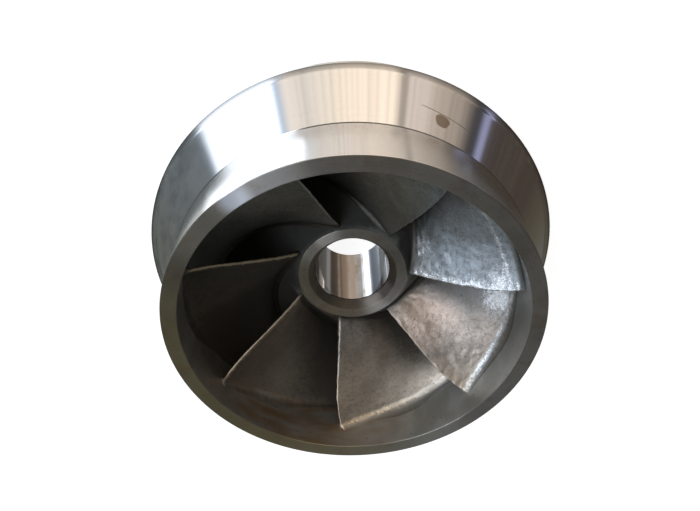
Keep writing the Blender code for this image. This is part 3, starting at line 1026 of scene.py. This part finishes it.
def vane_point(span, wrap, turned):
    """Point in space at a span, an angle behind the leading edge and a turn about the axis."""
    radius, depth = meridian(span, wrap)
    middle = span * (1.0 - span)
    skewed = LEADING_EDGE_TWIST + LEADING_EDGE_SKEW * (1.0 - 2.0 * span)
    edge = LEADING_EDGE_SWEEP * span + skewed * middle
    angle = np.radians(turned + edge + wrap)
    return np.stack([radius * np.cos(angle), radius * np.sin(angle), TOP - depth], -1)


def unit(vectors):
    """Vectors with their length made one."""
    return vectors / np.linalg.norm(vectors, axis=-1, keepdims=True)


print("each of the", VANE_COUNT, "vanes wraps", VANE_WRAP, "degrees behind its leading edge")

# %% [markdown]
# The blade has a round nose and swells to its full 5 mm over the first tenth. Where it meets a wall
# the real casting has a fillet, so the section grows sideways close to each root, by a quarter
# circle, and the nose grows forward with it.

# %% Thickness, nose and fillets
HALF_THICKNESS = 0.0026
EDGE_HALF_THICKNESS = 0.0010
THICKENING_SHARE = 0.10
WALL_FILLET = 0.0055
HUB_FILLET = 0.0040
HUB_FILLET_AT_EDGE = 0.0010
HUB_FILLET_GROWTH = 14.0


def fillet(distance, radius):
    """How far a fillet of that radius stands out, at a distance from the wall."""
    inside = np.clip(radius - distance, 0.0, radius)
    return radius - np.sqrt(radius**2 - inside**2)


def section(share, span, wrap, wide_edge):
    """Half thickness without fillets, and the fillet's part."""
    near_edge = np.minimum(np.minimum(share, 1.0 - share) / THICKENING_SHARE, 1.0)
    half = EDGE_HALF_THICKNESS + (HALF_THICKNESS - EDGE_HALF_THICKNESS) * np.sin(0.5 * math.pi * near_edge)
    half = half + wide_edge * (1.0 - span) ** 2 * np.clip(1.0 - share / THICKENING_SHARE, 0.0, 1.0)
    hub_point = line_at(HUB_LINE, hub_run(wrap))
    wall_point = line_at(WALL_LINE, wall_run(wrap))
    length = np.hypot(*(wall_point - hub_point).T)
    grown = np.clip(wrap / HUB_FILLET_GROWTH, 0.0, 1.0)
    hub_radius = HUB_FILLET_AT_EDGE + (HUB_FILLET - HUB_FILLET_AT_EDGE) * grown
    at_wall = fillet(np.maximum((1.0 - span) * length - ROOT_SINK, 0.0), WALL_FILLET)
    at_hub = fillet(np.maximum(span * length - ROOT_SINK, 0.0), hub_radius)
    return half, at_wall + at_hub


def skin_points(share, side, span, turned, wide_edge):
    """Points on the vane's skin. Side runs from -1 to 1 through the thickness."""
    wrap = share * VANE_WRAP
    half, flare = section(share, span, wrap, wide_edge)
    here = vane_point(span, wrap, 0.0)
    ahead = vane_point(span, wrap + STEP_ANGLE, 0.0) - vane_point(span, wrap - STEP_ANGLE, 0.0)
    across = vane_point(np.minimum(span + STEP_SPAN, 1.0), wrap, 0.0)
    across = across - vane_point(np.maximum(span - STEP_SPAN, 0.0), wrap, 0.0)
    normal = unit(np.cross(across, ahead))
    radius = np.hypot(here[:, 0], here[:, 1])
    zero = np.zeros_like(radius)
    around = np.stack([-here[:, 1], here[:, 0], zero], 1) / radius[:, None]
    outward = np.stack([here[:, 0], here[:, 1], zero], 1) / radius[:, None]
    radius_after, depth_after = meridian(span, wrap + STEP_ANGLE)
    radius_before, depth_before = meridian(span, wrap - STEP_ANGLE)
    run = np.hypot(radius_after - radius_before, depth_after - depth_before)
    arc = math.radians(2.0 * STEP_ANGLE) * radius
    length = np.hypot(run, arc)
    sink = np.stack([zero, zero, depth_after - depth_before], 1)
    along = (outward * (radius_after - radius_before)[:, None] - sink) / run[:, None]
    sideways = (around * run[:, None] - along * arc[:, None]) / length[:, None]
    lean = np.maximum(np.abs(np.sum(sideways * normal, 1)), LEAST_LEAN)
    at_edge = (share <= 0.0) | (share >= 1.0)
    nose = np.where(at_edge, np.cos(0.5 * math.pi * side), 0.0)
    round_side = np.where(at_edge, np.sin(0.5 * math.pi * side), side)
    shift = round_side * (half / lean + flare)
    wrap_shift = -shift * arc / length / run * 2.0 * STEP_ANGLE
    angle_shift = np.degrees(shift * run / length / radius) - wrap_shift
    per_degree = length / (2.0 * STEP_ANGLE)
    inset = EDGE_HALF_THICKNESS * (1.0 - 2.0 * share) / per_degree
    forward = np.where(share < 0.5, -nose * (half + 0.25 * flare), nose * half) / per_degree
    return vane_point(span, wrap + wrap_shift + inset + forward, turned + angle_shift)


print("a vane is", round(2000.0 * HALF_THICKNESS, 1), "mm thick")

# %% [markdown]
# The block that becomes a vane starts as a cube. Its edges are subdivided in one direction at a
# time, as loop cuts would do. No tool bends a block to such a twist, so each vertex is then moved to
# the point that the law gives for its place in the block. Cuts end up closer together near the
# leading edge and near both roots, where the shape turns fastest.

# %% One block, cut up for bending
CHORD_CUTS = 119
SPAN_CUTS = 71
THICKNESS_CUTS = 5
SPAN_CROWDING = 0.62
CHORD_CROWDING = 1.5


def cut_block():
    """Unit cube with even cuts along the chord, the thickness and the span."""
    select_nothing()
    bpy.ops.mesh.primitive_cube_add(size=1.0, location=(0.5, 0.0, 0.5))
    block = bpy.context.object
    block.name = "vane_block"
    apply_place(block)
    for axis, cuts in enumerate((CHORD_CUTS, THICKNESS_CUTS, SPAN_CUTS)):
        bpy.ops.object.mode_set(mode="EDIT")
        bpy.ops.mesh.select_mode(type="EDGE")
        bpy.ops.mesh.select_all(action="DESELECT")
        bpy.ops.object.mode_set(mode="OBJECT")
        corners = [vertex.co for vertex in block.data.vertices]
        for edge in block.data.edges:
            run = corners[edge.vertices[1]] - corners[edge.vertices[0]]
            edge.select = abs(run[axis]) > 0.9
        bpy.ops.object.mode_set(mode="EDIT")
        bpy.ops.mesh.subdivide(number_cuts=cuts)
        bpy.ops.object.mode_set(mode="OBJECT")
    return block


block = cut_block()
print("block", len(block.data.vertices), "vertices")

# %% [markdown]
# The skin is roughened by displacement: slow waves from the mould, small dents from the grinder,
# nicks along the leading edge, which is worn most, and an uneven ridge along the root where the
# grinder cut into the fillet. Vertex groups say where each of them acts, and point attributes tell
# the material where the steel is bare, where highlights and shade are painted, and where it is dirty.

# %% Helpers for the vane's skin
MOULD_WAVE = 0.018
GRINDER_DENT = 0.0050
EDGE_NICK = 0.0045
WAVE_DEPTH = 0.0008
DENT_DEPTH = 0.0005
NICK_DEPTH = 0.0012
RIDGE_DEPTH = 0.0010
WEIGHT_LEVELS = 12


def noise_texture(name, size, depth):
    """Cloud texture with features of a real size in metres."""
    texture = bpy.data.textures.new(name, "CLOUDS")
    texture.noise_scale = size
    texture.noise_depth = depth
    return texture


WAVES = noise_texture("mould_waves", MOULD_WAVE, 1)
DENTS = noise_texture("grinder_dents", GRINDER_DENT, 2)
NICKS = noise_texture("edge_nicks", EDGE_NICK, 2)


def displace(piece, name, texture, strength, group):
    """Add a displacement along the normals, read in world coordinates, within a vertex group."""
    modifier = piece.modifiers.new(name, "DISPLACE")
    modifier.texture = texture
    modifier.texture_coords = "GLOBAL"
    modifier.strength = strength
    modifier.mid_level = 0.5
    modifier.vertex_group = group


def weigh(piece, name, weights):
    """Vertex group from an array of weights, in a few even levels."""
    group = piece.vertex_groups.new(name=name)
    levels = np.rint(weights * WEIGHT_LEVELS).astype(int)
    for level in range(1, WEIGHT_LEVELS + 1):
        members = np.nonzero(levels == level)[0].tolist()
        group.add(members, level / WEIGHT_LEVELS, "REPLACE")


def store(piece, name, values):
    """Point attribute with one number for each vertex."""
    attribute = piece.data.attributes.new(name, "FLOAT", "POINT")
    attribute.data.foreach_set("value", values)


def near_place(points, centre, reach):
    """One at a place, falling to nothing beyond its reach."""
    return np.exp(-(np.linalg.norm(points - np.array(centre), axis=1) / reach) ** 2)


print("waves", MOULD_WAVE, "m long, dents", GRINDER_DENT, "m, nicks", EDGE_NICK, "m")

# %% [markdown]
# Each vane is a copy of the block, bent to its own place. Roots stay inside the walls, so no gap
# opens there. The seven vanes differ in how much dirt and painted shade they carry and in how bare
# the grinding left the edge and the ridge. Three spots are painted highlights, drawn as steel ground
# bright, each with its place, its reach and how bare the steel is drawn there.

# %% Vanes
EDGE_REACH = 0.0030
ROOT_REACH = 0.0075
# Reach of the painted shade, with dirt, at the hub root.
HUB_DIRT_AND_SHADE_REACH = 0.007
# Reach from the wall over which the deep painted shade is lifted.
UNSHADED_WALL_REACH = 0.030
# How the deep painted shade fades towards the rim.
SHADE_FADE = 0.035
# Where the seam's crevice dirt and painted shade begin, and over what run they grow.
SEAM_FROM = 0.62
SEAM_RUN = 0.20
# Painted highlights: place, reach and strength of three bright spots.
GLINTS = (
    ((-0.131, -0.013, 0.120), 0.017, 1.00),
    ((-0.1335, 0.0165, 0.1065), 0.020, 0.86),
    ((-0.063, -0.024, 0.078), 0.017, 0.75),
)


def vane_look(**changes):
    """Dirt and painted shade, bare spots and roughness of one vane. Lengths are in metres, the deep shade
    starts in degrees.
    """
    look = {"dirt": 0.0, "deep_dirt": 0.8, "dirt_from": 24.0, "dirt_run": 40.0, "hub_dirt": 0.9}
    look.update({"clean_wall": 0.0, "seam": 0.4, "rough": 0.9})
    look.update({"bare_edge": 0.5, "edge_reach": 0.003, "wide_edge": 0.0})
    look.update({"bare_fillet": 0.1, "ridge": 0.0023, "ridge_width": 0.0018, "ridge_reach": 0.075})
    look.update(changes)
    return look


def make_vane(number, look):
    """One vane at its own angle, with its own dirt and painted shade, bare edge and bare fillet."""
    turned = FIRST_VANE_ANGLE + (number - 1) * 360.0 / VANE_COUNT
    piece = block.copy()
    piece.data = block.data.copy()
    piece.name = f"vane_{number}_ground"
    bpy.context.scene.collection.objects.link(piece)
    count = len(piece.data.vertices)
    raw = np.empty(count * 3)
    piece.data.vertices.foreach_get("co", raw)
    raw = raw.reshape(-1, 3)
    share = np.clip(raw[:, 0], 0.0, 1.0) ** CHORD_CROWDING
    side = np.clip(raw[:, 1] * 2.0, -1.0, 1.0)
    even = np.clip(raw[:, 2], 0.0, 1.0)
    span = even - SPAN_CROWDING * np.sin(2.0 * math.pi * even) / (2.0 * math.pi)
    points = skin_points(share, side, span, turned, look["wide_edge"])
    piece.data.vertices.foreach_set("co", points.ravel())
    wrap = share * VANE_WRAP
    height = vane_point(np.ones(count), wrap, 0.0) - vane_point(np.zeros(count), wrap, 0.0)
    height = np.linalg.norm(height, axis=1)
    from_wall = (1.0 - span) * height
    from_hub = span * height
    radius = np.hypot(points[:, 0], points[:, 1])
    along = np.radians(wrap) * radius
    root = np.clip(1.0 - np.minimum(from_wall, from_hub) / ROOT_REACH, 0.0, 1.0)
    edge = np.exp(-along / EDGE_REACH)
    worn_edge = np.exp(-along / look["edge_reach"]) * (1.0 - 0.7 * root)
    ridge = np.exp(-(((from_wall - look["ridge"]) / look["ridge_width"]) ** 2))
    ridge = ridge * np.exp(-along / look["ridge_reach"])
    bare_and_glint = np.maximum(look["bare_edge"] * worn_edge, look["bare_fillet"] * ridge)
    # Painted highlights at the glint spots, kept off the roots.
    for centre, reach, power in GLINTS:
        bare_and_glint = np.maximum(bare_and_glint, power * near_place(points, centre, reach) * (1.0 - root))
    bare_and_glint = np.clip(bare_and_glint, 0.0, 1.0)
    skin_root = root * (1.0 - 0.8 * bare_and_glint)
    store(piece, "bare_and_glint", bare_and_glint)
    store(piece, "root", skin_root)
    # The seam along each root is crevice dirt and painted shade.
    store(piece, "seam", look["seam"] * np.clip((skin_root - SEAM_FROM) / SEAM_RUN, 0.0, 1.0))
    # Painted shade deep in the passage, where the next vane covers this one: less of it near the wall where
    # the look asks, and less towards the rim.
    shade_depth = np.clip((wrap - look["dirt_from"]) / look["dirt_run"], 0.0, 1.0)
    shade_depth *= 1.0 - look["clean_wall"] * np.exp(-((from_wall / UNSHADED_WALL_REACH) ** 2))
    shade_depth *= np.clip((RESIDUE_SHADE_END + 0.01 - radius) / SHADE_FADE, 0.2, 1.0)
    # Dirt and painted shade together: the vane's own level and the deep shade.
    dirt = look["dirt"] + look["deep_dirt"] * shade_depth
    # Painted shade, with dirt, in the crevice at the hub root.
    dirt += look["hub_dirt"] * np.clip(1.0 - from_hub / HUB_DIRT_AND_SHADE_REACH, 0.0, 1.0)
    store(piece, "dirt", np.clip(dirt, 0.0, 1.0))
    flow = np.stack([along, from_hub, side * 0.01 + number], 1)
    attribute = piece.data.attributes.new("flow", "FLOAT_VECTOR", "POINT")
    attribute.data.foreach_set("vector", flow.ravel())
    weigh(piece, "skin", 1.0 - root)
    weigh(piece, "leading_edge", edge * (1.0 - root))
    weigh(piece, "ridge", np.clip(look["bare_fillet"] * ridge, 0.0, 1.0))
    piece.data.update()
    pick(piece)
    bpy.ops.object.mode_set(mode="EDIT")
    bpy.ops.mesh.select_all(action="SELECT")
    bpy.ops.mesh.normals_make_consistent(inside=False)
    bpy.ops.object.mode_set(mode="OBJECT")
    displace(piece, "Mould", WAVES, WAVE_DEPTH, "skin")
    displace(piece, "Dents", DENTS, DENT_DEPTH * look["rough"], "skin")
    displace(piece, "Nicks", NICKS, NICK_DEPTH * look["rough"], "leading_edge")
    displace(piece, "Ridge", NICKS, RIDGE_DEPTH, "ridge")
    apply_modifiers(piece)
    bpy.ops.object.shade_smooth()
    piece.data.materials.clear()
    piece.data.materials.append(VANE_STEEL)
    return piece


# Each look gives the vane's dirt and painted shade, its bare edge and ridge, and its roughness.
VANE_LOOKS = (
    vane_look(dirt=0.66, bare_edge=0.80, wide_edge=0.0002, rough=0.8, seam=0.2),
    vane_look(
        dirt=0.46, bare_edge=0.85, wide_edge=0.0003, seam=0.1,
        bare_fillet=0.30, ridge=0.0042, ridge_width=0.0020,
    ),
    vane_look(
        deep_dirt=0.85, dirt_from=14.0, dirt_run=26.0, clean_wall=0.9, seam=0.75,
        bare_edge=0.40, wide_edge=0.0016,
        bare_fillet=0.80, ridge=0.0036, ridge_width=0.0030, ridge_reach=0.20,
    ),
    vane_look(
        dirt=0.03, deep_dirt=0.55, dirt_from=20.0, dirt_run=14.0, clean_wall=0.9, seam=0.65,
        bare_edge=0.20, wide_edge=0.0002, rough=1.3,
        bare_fillet=1.0, ridge=0.0034, ridge_width=0.0023, ridge_reach=0.60,
    ),
    vane_look(
        bare_edge=0.85, edge_reach=0.009, wide_edge=0.0004, rough=1.5, seam=0.7,
        bare_fillet=0.8, ridge=0.0140, ridge_width=0.0030, ridge_reach=0.30,
    ),
    vane_look(dirt=0.14, hub_dirt=0.2, bare_edge=0.20, rough=0.9),
    vane_look(dirt=0.02, bare_edge=0.12, rough=0.8),
)
vanes = [make_vane(number, look) for number, look in enumerate(VANE_LOOKS, 1)]
bpy.data.objects.remove(block, do_unlink=True)
print("vanes", [triangles(vane) for vane in vanes], "triangles")

# %% [markdown]
# Every piece stands for the solid of the imported model that it dresses, which is hidden, and rides
# on the one body. The row for a piece is the piece, the solid and the slot.

# %% Pieces and the solids they stand for
DRESSED = [
    (eye_ring, "eye_ring", "ring_steel"),
    (front_shroud, "front_shroud", "turned_steel"),
    (hub, "hub", "hub_steel"),
    (back_shroud, "back_shroud", "web_steel"),
]
DRESSED += [(vane, f"vane_{number}", "vane_steel") for number, vane in enumerate(vanes, 1)]
for piece, node, slot in DRESSED:
    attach(piece, "root")
    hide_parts(node)
print(len(DRESSED), "pieces,", sum(triangles(row[0]) for row in DRESSED), "triangles")

# %% [markdown]
# The floor is plain and pale, and bright enough to read as a white sweep. It shows to the camera
# but not in the metal, so that the steel reflects only the studio round it.

# %% Floor
FLOOR_SIZE = 12.0
FLOOR_DROP = 0.0004
FLOOR_GLOW = 0.90


def make_floor():
    """Wide pale floor, just under the part, that only stages it."""
    select_nothing()
    bpy.ops.mesh.primitive_plane_add(size=FLOOR_SIZE, location=(0.0, 0.0, -FLOOR_DROP))
    floor = bpy.context.object
    floor.name = "studio_floor"
    material, tree = fresh_material("matt_white_floor")
    matt = add_node(tree, "BsdfDiffuse", {"Color": "#b9b9b9"})
    glow = add_node(tree, "Emission", {"Color": "#ffffff", "Strength": FLOOR_GLOW})
    add_node(tree, "OutputMaterial", [add_node(tree, "AddShader", [matt, glow])])
    floor.data.materials.append(material)
    floor.visible_glossy = False
    return floor


floor = make_floor()
print(floor.name, FLOOR_SIZE, "m wide")

# %% [markdown]
# Steel is only as good as what it reflects. The studio is painted on the world by direction: a tall
# white window on one side, a warm bright wall with thin dark joints and one broad bar beside it, a
# narrow cool strip further round, a brown corner, dim walls elsewhere, a grey ceiling and three
# small lamps. The cone looks at the walls and the ring's land looks at the ground in front of them,
# so the two get a row of tones each. A tone has its direction in degrees, its colour and its
# strength. A lamp has its left and right side, its foot and head, all in degrees, and its strength.

# %% Tones of the studio
BROWN_CORNER = ((-180, "#433a36", 1.0), (-168, "#3f3633", 1.0), (-159, "#4e4a50", 1.0))
COOL_STRIP = ((-157.4, "#b0b4dc", 1.15), (-155.4, "#b0b4dc", 1.15), (-153.6, "#3c3f4a", 1.0))
WALL_SHADED_END = ((-150, "#4d4c50", 1.0), (-144, "#c4b6aa", 1.0), (-132, "#dfd0c2", 1.05))
WALL_BEFORE_BAR = ((-125, "#eadcd2", 1.32), (-118, "#ecdfd4", 1.36))
WALL_BRIGHTEST = ((-112, "#ffefdd", 1.72), (-100, "#ffefdd", 1.74), (-88, "#fff1e0", 1.60))
WALL_BESIDE_WINDOW = ((-74, "#f6eee6", 1.40), (-64, "#f3e9e0", 1.45))
WALL_AT_WINDOW = ((-60, "#b9cde6", 1.25), (-26, "#c2d8ee", 1.1))
DIM_WALLS = ((-18, "#828b93", 1.0), (35, "#6f726c", 1.0), (90, "#8b9094", 1.0))
DARK_END = ((150, "#5f5b4e", 1.0), (168, "#4b433c", 1.0))
WARM_WALL = WALL_SHADED_END + WALL_BEFORE_BAR + WALL_BRIGHTEST + WALL_BESIDE_WINDOW
WALL_STOPS = BROWN_CORNER + COOL_STRIP + WARM_WALL + WALL_AT_WINDOW + DIM_WALLS + DARK_END
GROUND_AT_CORNER = ((-180, "#7d868c", 1.0), (-168, "#868380", 1.0), (-158, "#b8aca1", 1.0))
GROUND_AT_WALL = ((-138, "#e2d6ca", 1.05), (-110, "#f6e9dc", 1.32), (-71, "#f2ece6", 1.30))
GROUND_AT_WINDOW = ((-62, "#dfe4ea", 1.20), (-36, "#dfe8ee", 1.30), (-4, "#d5dde1", 1.0))
GROUND_LIT = ((14, "#f0f6f6", 1.05), (30, "#dfe5e4", 1.0))
GROUND_DIM = ((48, "#a3a49d", 1.0), (62, "#8a8981", 1.0), (150, "#4f4b46", 1.0), (166, "#5c5a57", 1.0))
GROUND_STOPS = GROUND_AT_CORNER + GROUND_AT_WALL + GROUND_AT_WINDOW + GROUND_LIT + GROUND_DIM
GROUND_EDGE = -50.0
JOINT_TONE = "#6b625a"
# The joints show on the bright wall, at the dark end and, most of all, in the brown corner.
JOINTED = ((-64.0, -70.0, 1.0), (125.0, 150.0, 1.0), (-158.0, -161.0, 1.6))
CEILING = "#5e5c58"
WINDOW_LIGHT = "#eef4ff"
WINDOW_LOW = 1.7
WINDOW_MIDDLE = 1.3
WINDOW_HIGH = 3.5
WINDOW_LEFT = -59.0
WINDOW_RIGHT = -22.0
WINDOW_RIGHT_LOW = 14.0
WINDOW_LEAN = 6.0
LAMP_SOFTNESS = 2.0
LAMPS = (
    (-62.0, -50.0, 42.0, 58.0, 4.0),
    (-10.0, -3.0, 56.0, 65.0, 16.0),
    (3.0, 17.0, 36.0, 49.0, 3.6),
)
BAR_AZIMUTH = -116.0
BAR_AZIMUTH_BELOW = -133.0
BAR_HALF_WIDTH = 1.8
print("studio of", len(WALL_STOPS) + len(GROUND_STOPS), "tones and", len(LAMPS), "lamps")

# %% [markdown]
# Turned steel draws a line for everything that stands upright in front of it. The joints between the
# wall's panels give the cone its fine streaks, and the lamps put small highlights on curved edges.

# %% Joints and lamps


def joints_between_panels(tree, azimuth, elevation):
    """Thin dark upright lines, unevenly spaced, and one broad bar on the bright wall."""
    coarse = {"W": azimuth, "Scale": 0.80, "Detail": 2.0, "Roughness": 0.6}
    coarse = add_node(tree, "TexNoise", coarse, noise_dimensions="1D")
    coarse = add_node(tree, "MapRange", [coarse, 0.38, 0.50, 0.34, 0.0])
    fine = add_node(tree, "TexNoise", {"W": azimuth, "Scale": 2.2, "Detail": 1.0}, noise_dimensions="1D")
    fine = add_node(tree, "MapRange", [fine, 0.40, 0.55, 0.16, 0.0])
    lines = add_node(tree, "Math", [coarse, fine], operation="ADD")
    jointed = 0.0
    for start, end, strength in JOINTED:
        part = add_node(tree, "MapRange", [azimuth, start, end, 0.0, strength])
        jointed = add_node(tree, "Math", [jointed, part], operation="ADD")
    lines = add_node(tree, "Math", [lines, jointed], operation="MULTIPLY")
    bar = add_node(tree, "MapRange", [elevation, -40.0, -62.0, BAR_AZIMUTH, BAR_AZIMUTH_BELOW])
    bar = add_node(tree, "Math", [azimuth, bar], operation="SUBTRACT")
    bar = add_node(tree, "Math", [bar], operation="ABSOLUTE")
    bar = add_node(tree, "MapRange", [bar, BAR_HALF_WIDTH * 1.4, BAR_HALF_WIDTH * 0.7, 0.0, 0.65])
    return add_node(tree, "Math", [lines, bar], operation="MAXIMUM")


def lamp_light(tree, azimuth, elevation, lamp):
    """Strength of one soft-edged lamp, from its two sides, its foot, its head and its power."""
    left, right, foot, head, power = lamp
    light = [azimuth, left - LAMP_SOFTNESS, left + LAMP_SOFTNESS, 0.0, power]
    light = add_node(tree, "MapRange", light)
    edges = (
        (azimuth, right + LAMP_SOFTNESS, right - LAMP_SOFTNESS),
        (elevation, foot - LAMP_SOFTNESS, foot + LAMP_SOFTNESS),
        (elevation, head + LAMP_SOFTNESS, head - LAMP_SOFTNESS),
    )
    for edge in edges:
        mask = add_node(tree, "MapRange", edge)
        light = add_node(tree, "Math", [light, mask], operation="MULTIPLY")
    return light


print("a lamp fades over", 2.0 * LAMP_SOFTNESS, "degrees at each side")

# %% [markdown]
# The walls, the ground, the joints and the ceiling are mixed by direction, and the light of the
# window and the lamps is added to them. The window leans, is brightest high up, and widens towards
# the ground. The camera itself sees plain white.

# %% Studio round the impeller


def paint_studio():
    """World whose colour depends on the direction, with plain white for the camera."""
    world = bpy.data.worlds.new("studio")
    bpy.context.scene.world = world
    world.use_nodes = True
    tree = world.node_tree
    tree.nodes.clear()
    direction = add_node(tree, "TexCoord").outputs["Generated"]
    x, y, z = add_node(tree, "SeparateXYZ", [direction]).outputs
    degrees = 180.0 / math.pi
    azimuth = add_node(tree, "Math", [y, x], operation="ARCTAN2")
    azimuth = add_node(tree, "Math", [azimuth, degrees], operation="MULTIPLY")
    elevation = add_node(tree, "Math", [z], operation="ARCSINE")
    elevation = add_node(tree, "Math", [elevation, degrees], operation="MULTIPLY")
    around = add_node(tree, "MapRange", [azimuth, -180.0, 180.0])
    ramps = []
    for stops in (WALL_STOPS, GROUND_STOPS):
        ramp = add_node(tree, "ValToRGB", [around])
        elements = ramp.color_ramp.elements
        elements.remove(elements[1])
        for index, (place, colour, strength) in enumerate(stops):
            element = elements.new((place + 180.0) / 360.0) if index else elements[0]
            element.color = [channel * strength for channel in linear(colour)[:3]] + [1.0]
        ramps.append(ramp)
    walls, ground = ramps
    down = add_node(tree, "MapRange", [elevation, GROUND_EDGE + 3.0, GROUND_EDGE - 3.0])
    room = add_node(tree, "Mix", {0: down, 6: walls, 7: ground}, data_type="RGBA")
    joints = joints_between_panels(tree, azimuth, elevation)
    room = add_node(tree, "Mix", {0: joints, 6: room, 7: JOINT_TONE}, data_type="RGBA")
    up = add_node(tree, "MapRange", [elevation, 8.0, 62.0], interpolation_type="SMOOTHSTEP")
    room = add_node(tree, "Mix", {0: up, 6: room, 7: CEILING}, data_type="RGBA")

    right_edge = [elevation, -42.0, -56.0, WINDOW_RIGHT, WINDOW_RIGHT_LOW]
    right_edge = add_node(tree, "MapRange", right_edge)
    leaning = add_node(tree, "MapRange", [elevation, 36.0, 46.0, 0.0, WINDOW_LEAN])
    turned = add_node(tree, "Math", [azimuth, leaning], operation="SUBTRACT")
    left = add_node(tree, "MapRange", [turned, WINDOW_LEFT - 1.0, WINDOW_LEFT + 1.0])
    right = add_node(tree, "Math", [turned, right_edge], operation="SUBTRACT")
    right = add_node(tree, "MapRange", [right, 1.5, -1.5])
    top = add_node(tree, "MapRange", [elevation, 74.0, 62.0], interpolation_type="SMOOTHSTEP")
    low = add_node(tree, "MapRange", [elevation, -20.0, -60.0, WINDOW_MIDDLE, WINDOW_LOW])
    strength = add_node(tree, "MapRange", [elevation, 32.0, 46.0, low, WINDOW_HIGH])
    light = left
    for part in (right, top, strength):
        light = add_node(tree, "Math", [light, part], operation="MULTIPLY")
    for lamp in LAMPS:
        light = add_node(tree, "Math", [light, lamp_light(tree, azimuth, elevation, lamp)], operation="ADD")

    room_shade = add_node(tree, "Background", {"Color": room, "Strength": 1.0})
    light_shade = add_node(tree, "Background", {"Color": WINDOW_LIGHT, "Strength": light})
    studio = add_node(tree, "AddShader", [room_shade, light_shade])
    plain = add_node(tree, "Background", {"Color": "#ffffff", "Strength": 1.0})
    seen = add_node(tree, "LightPath").outputs["Is Camera Ray"]
    add_node(tree, "OutputWorld", [add_node(tree, "MixShader", [seen, studio, plain])])


paint_studio()
bpy.context.scene.view_settings.view_transform = "Standard"
print("studio painted in", len(bpy.context.scene.world.node_tree.nodes), "nodes")
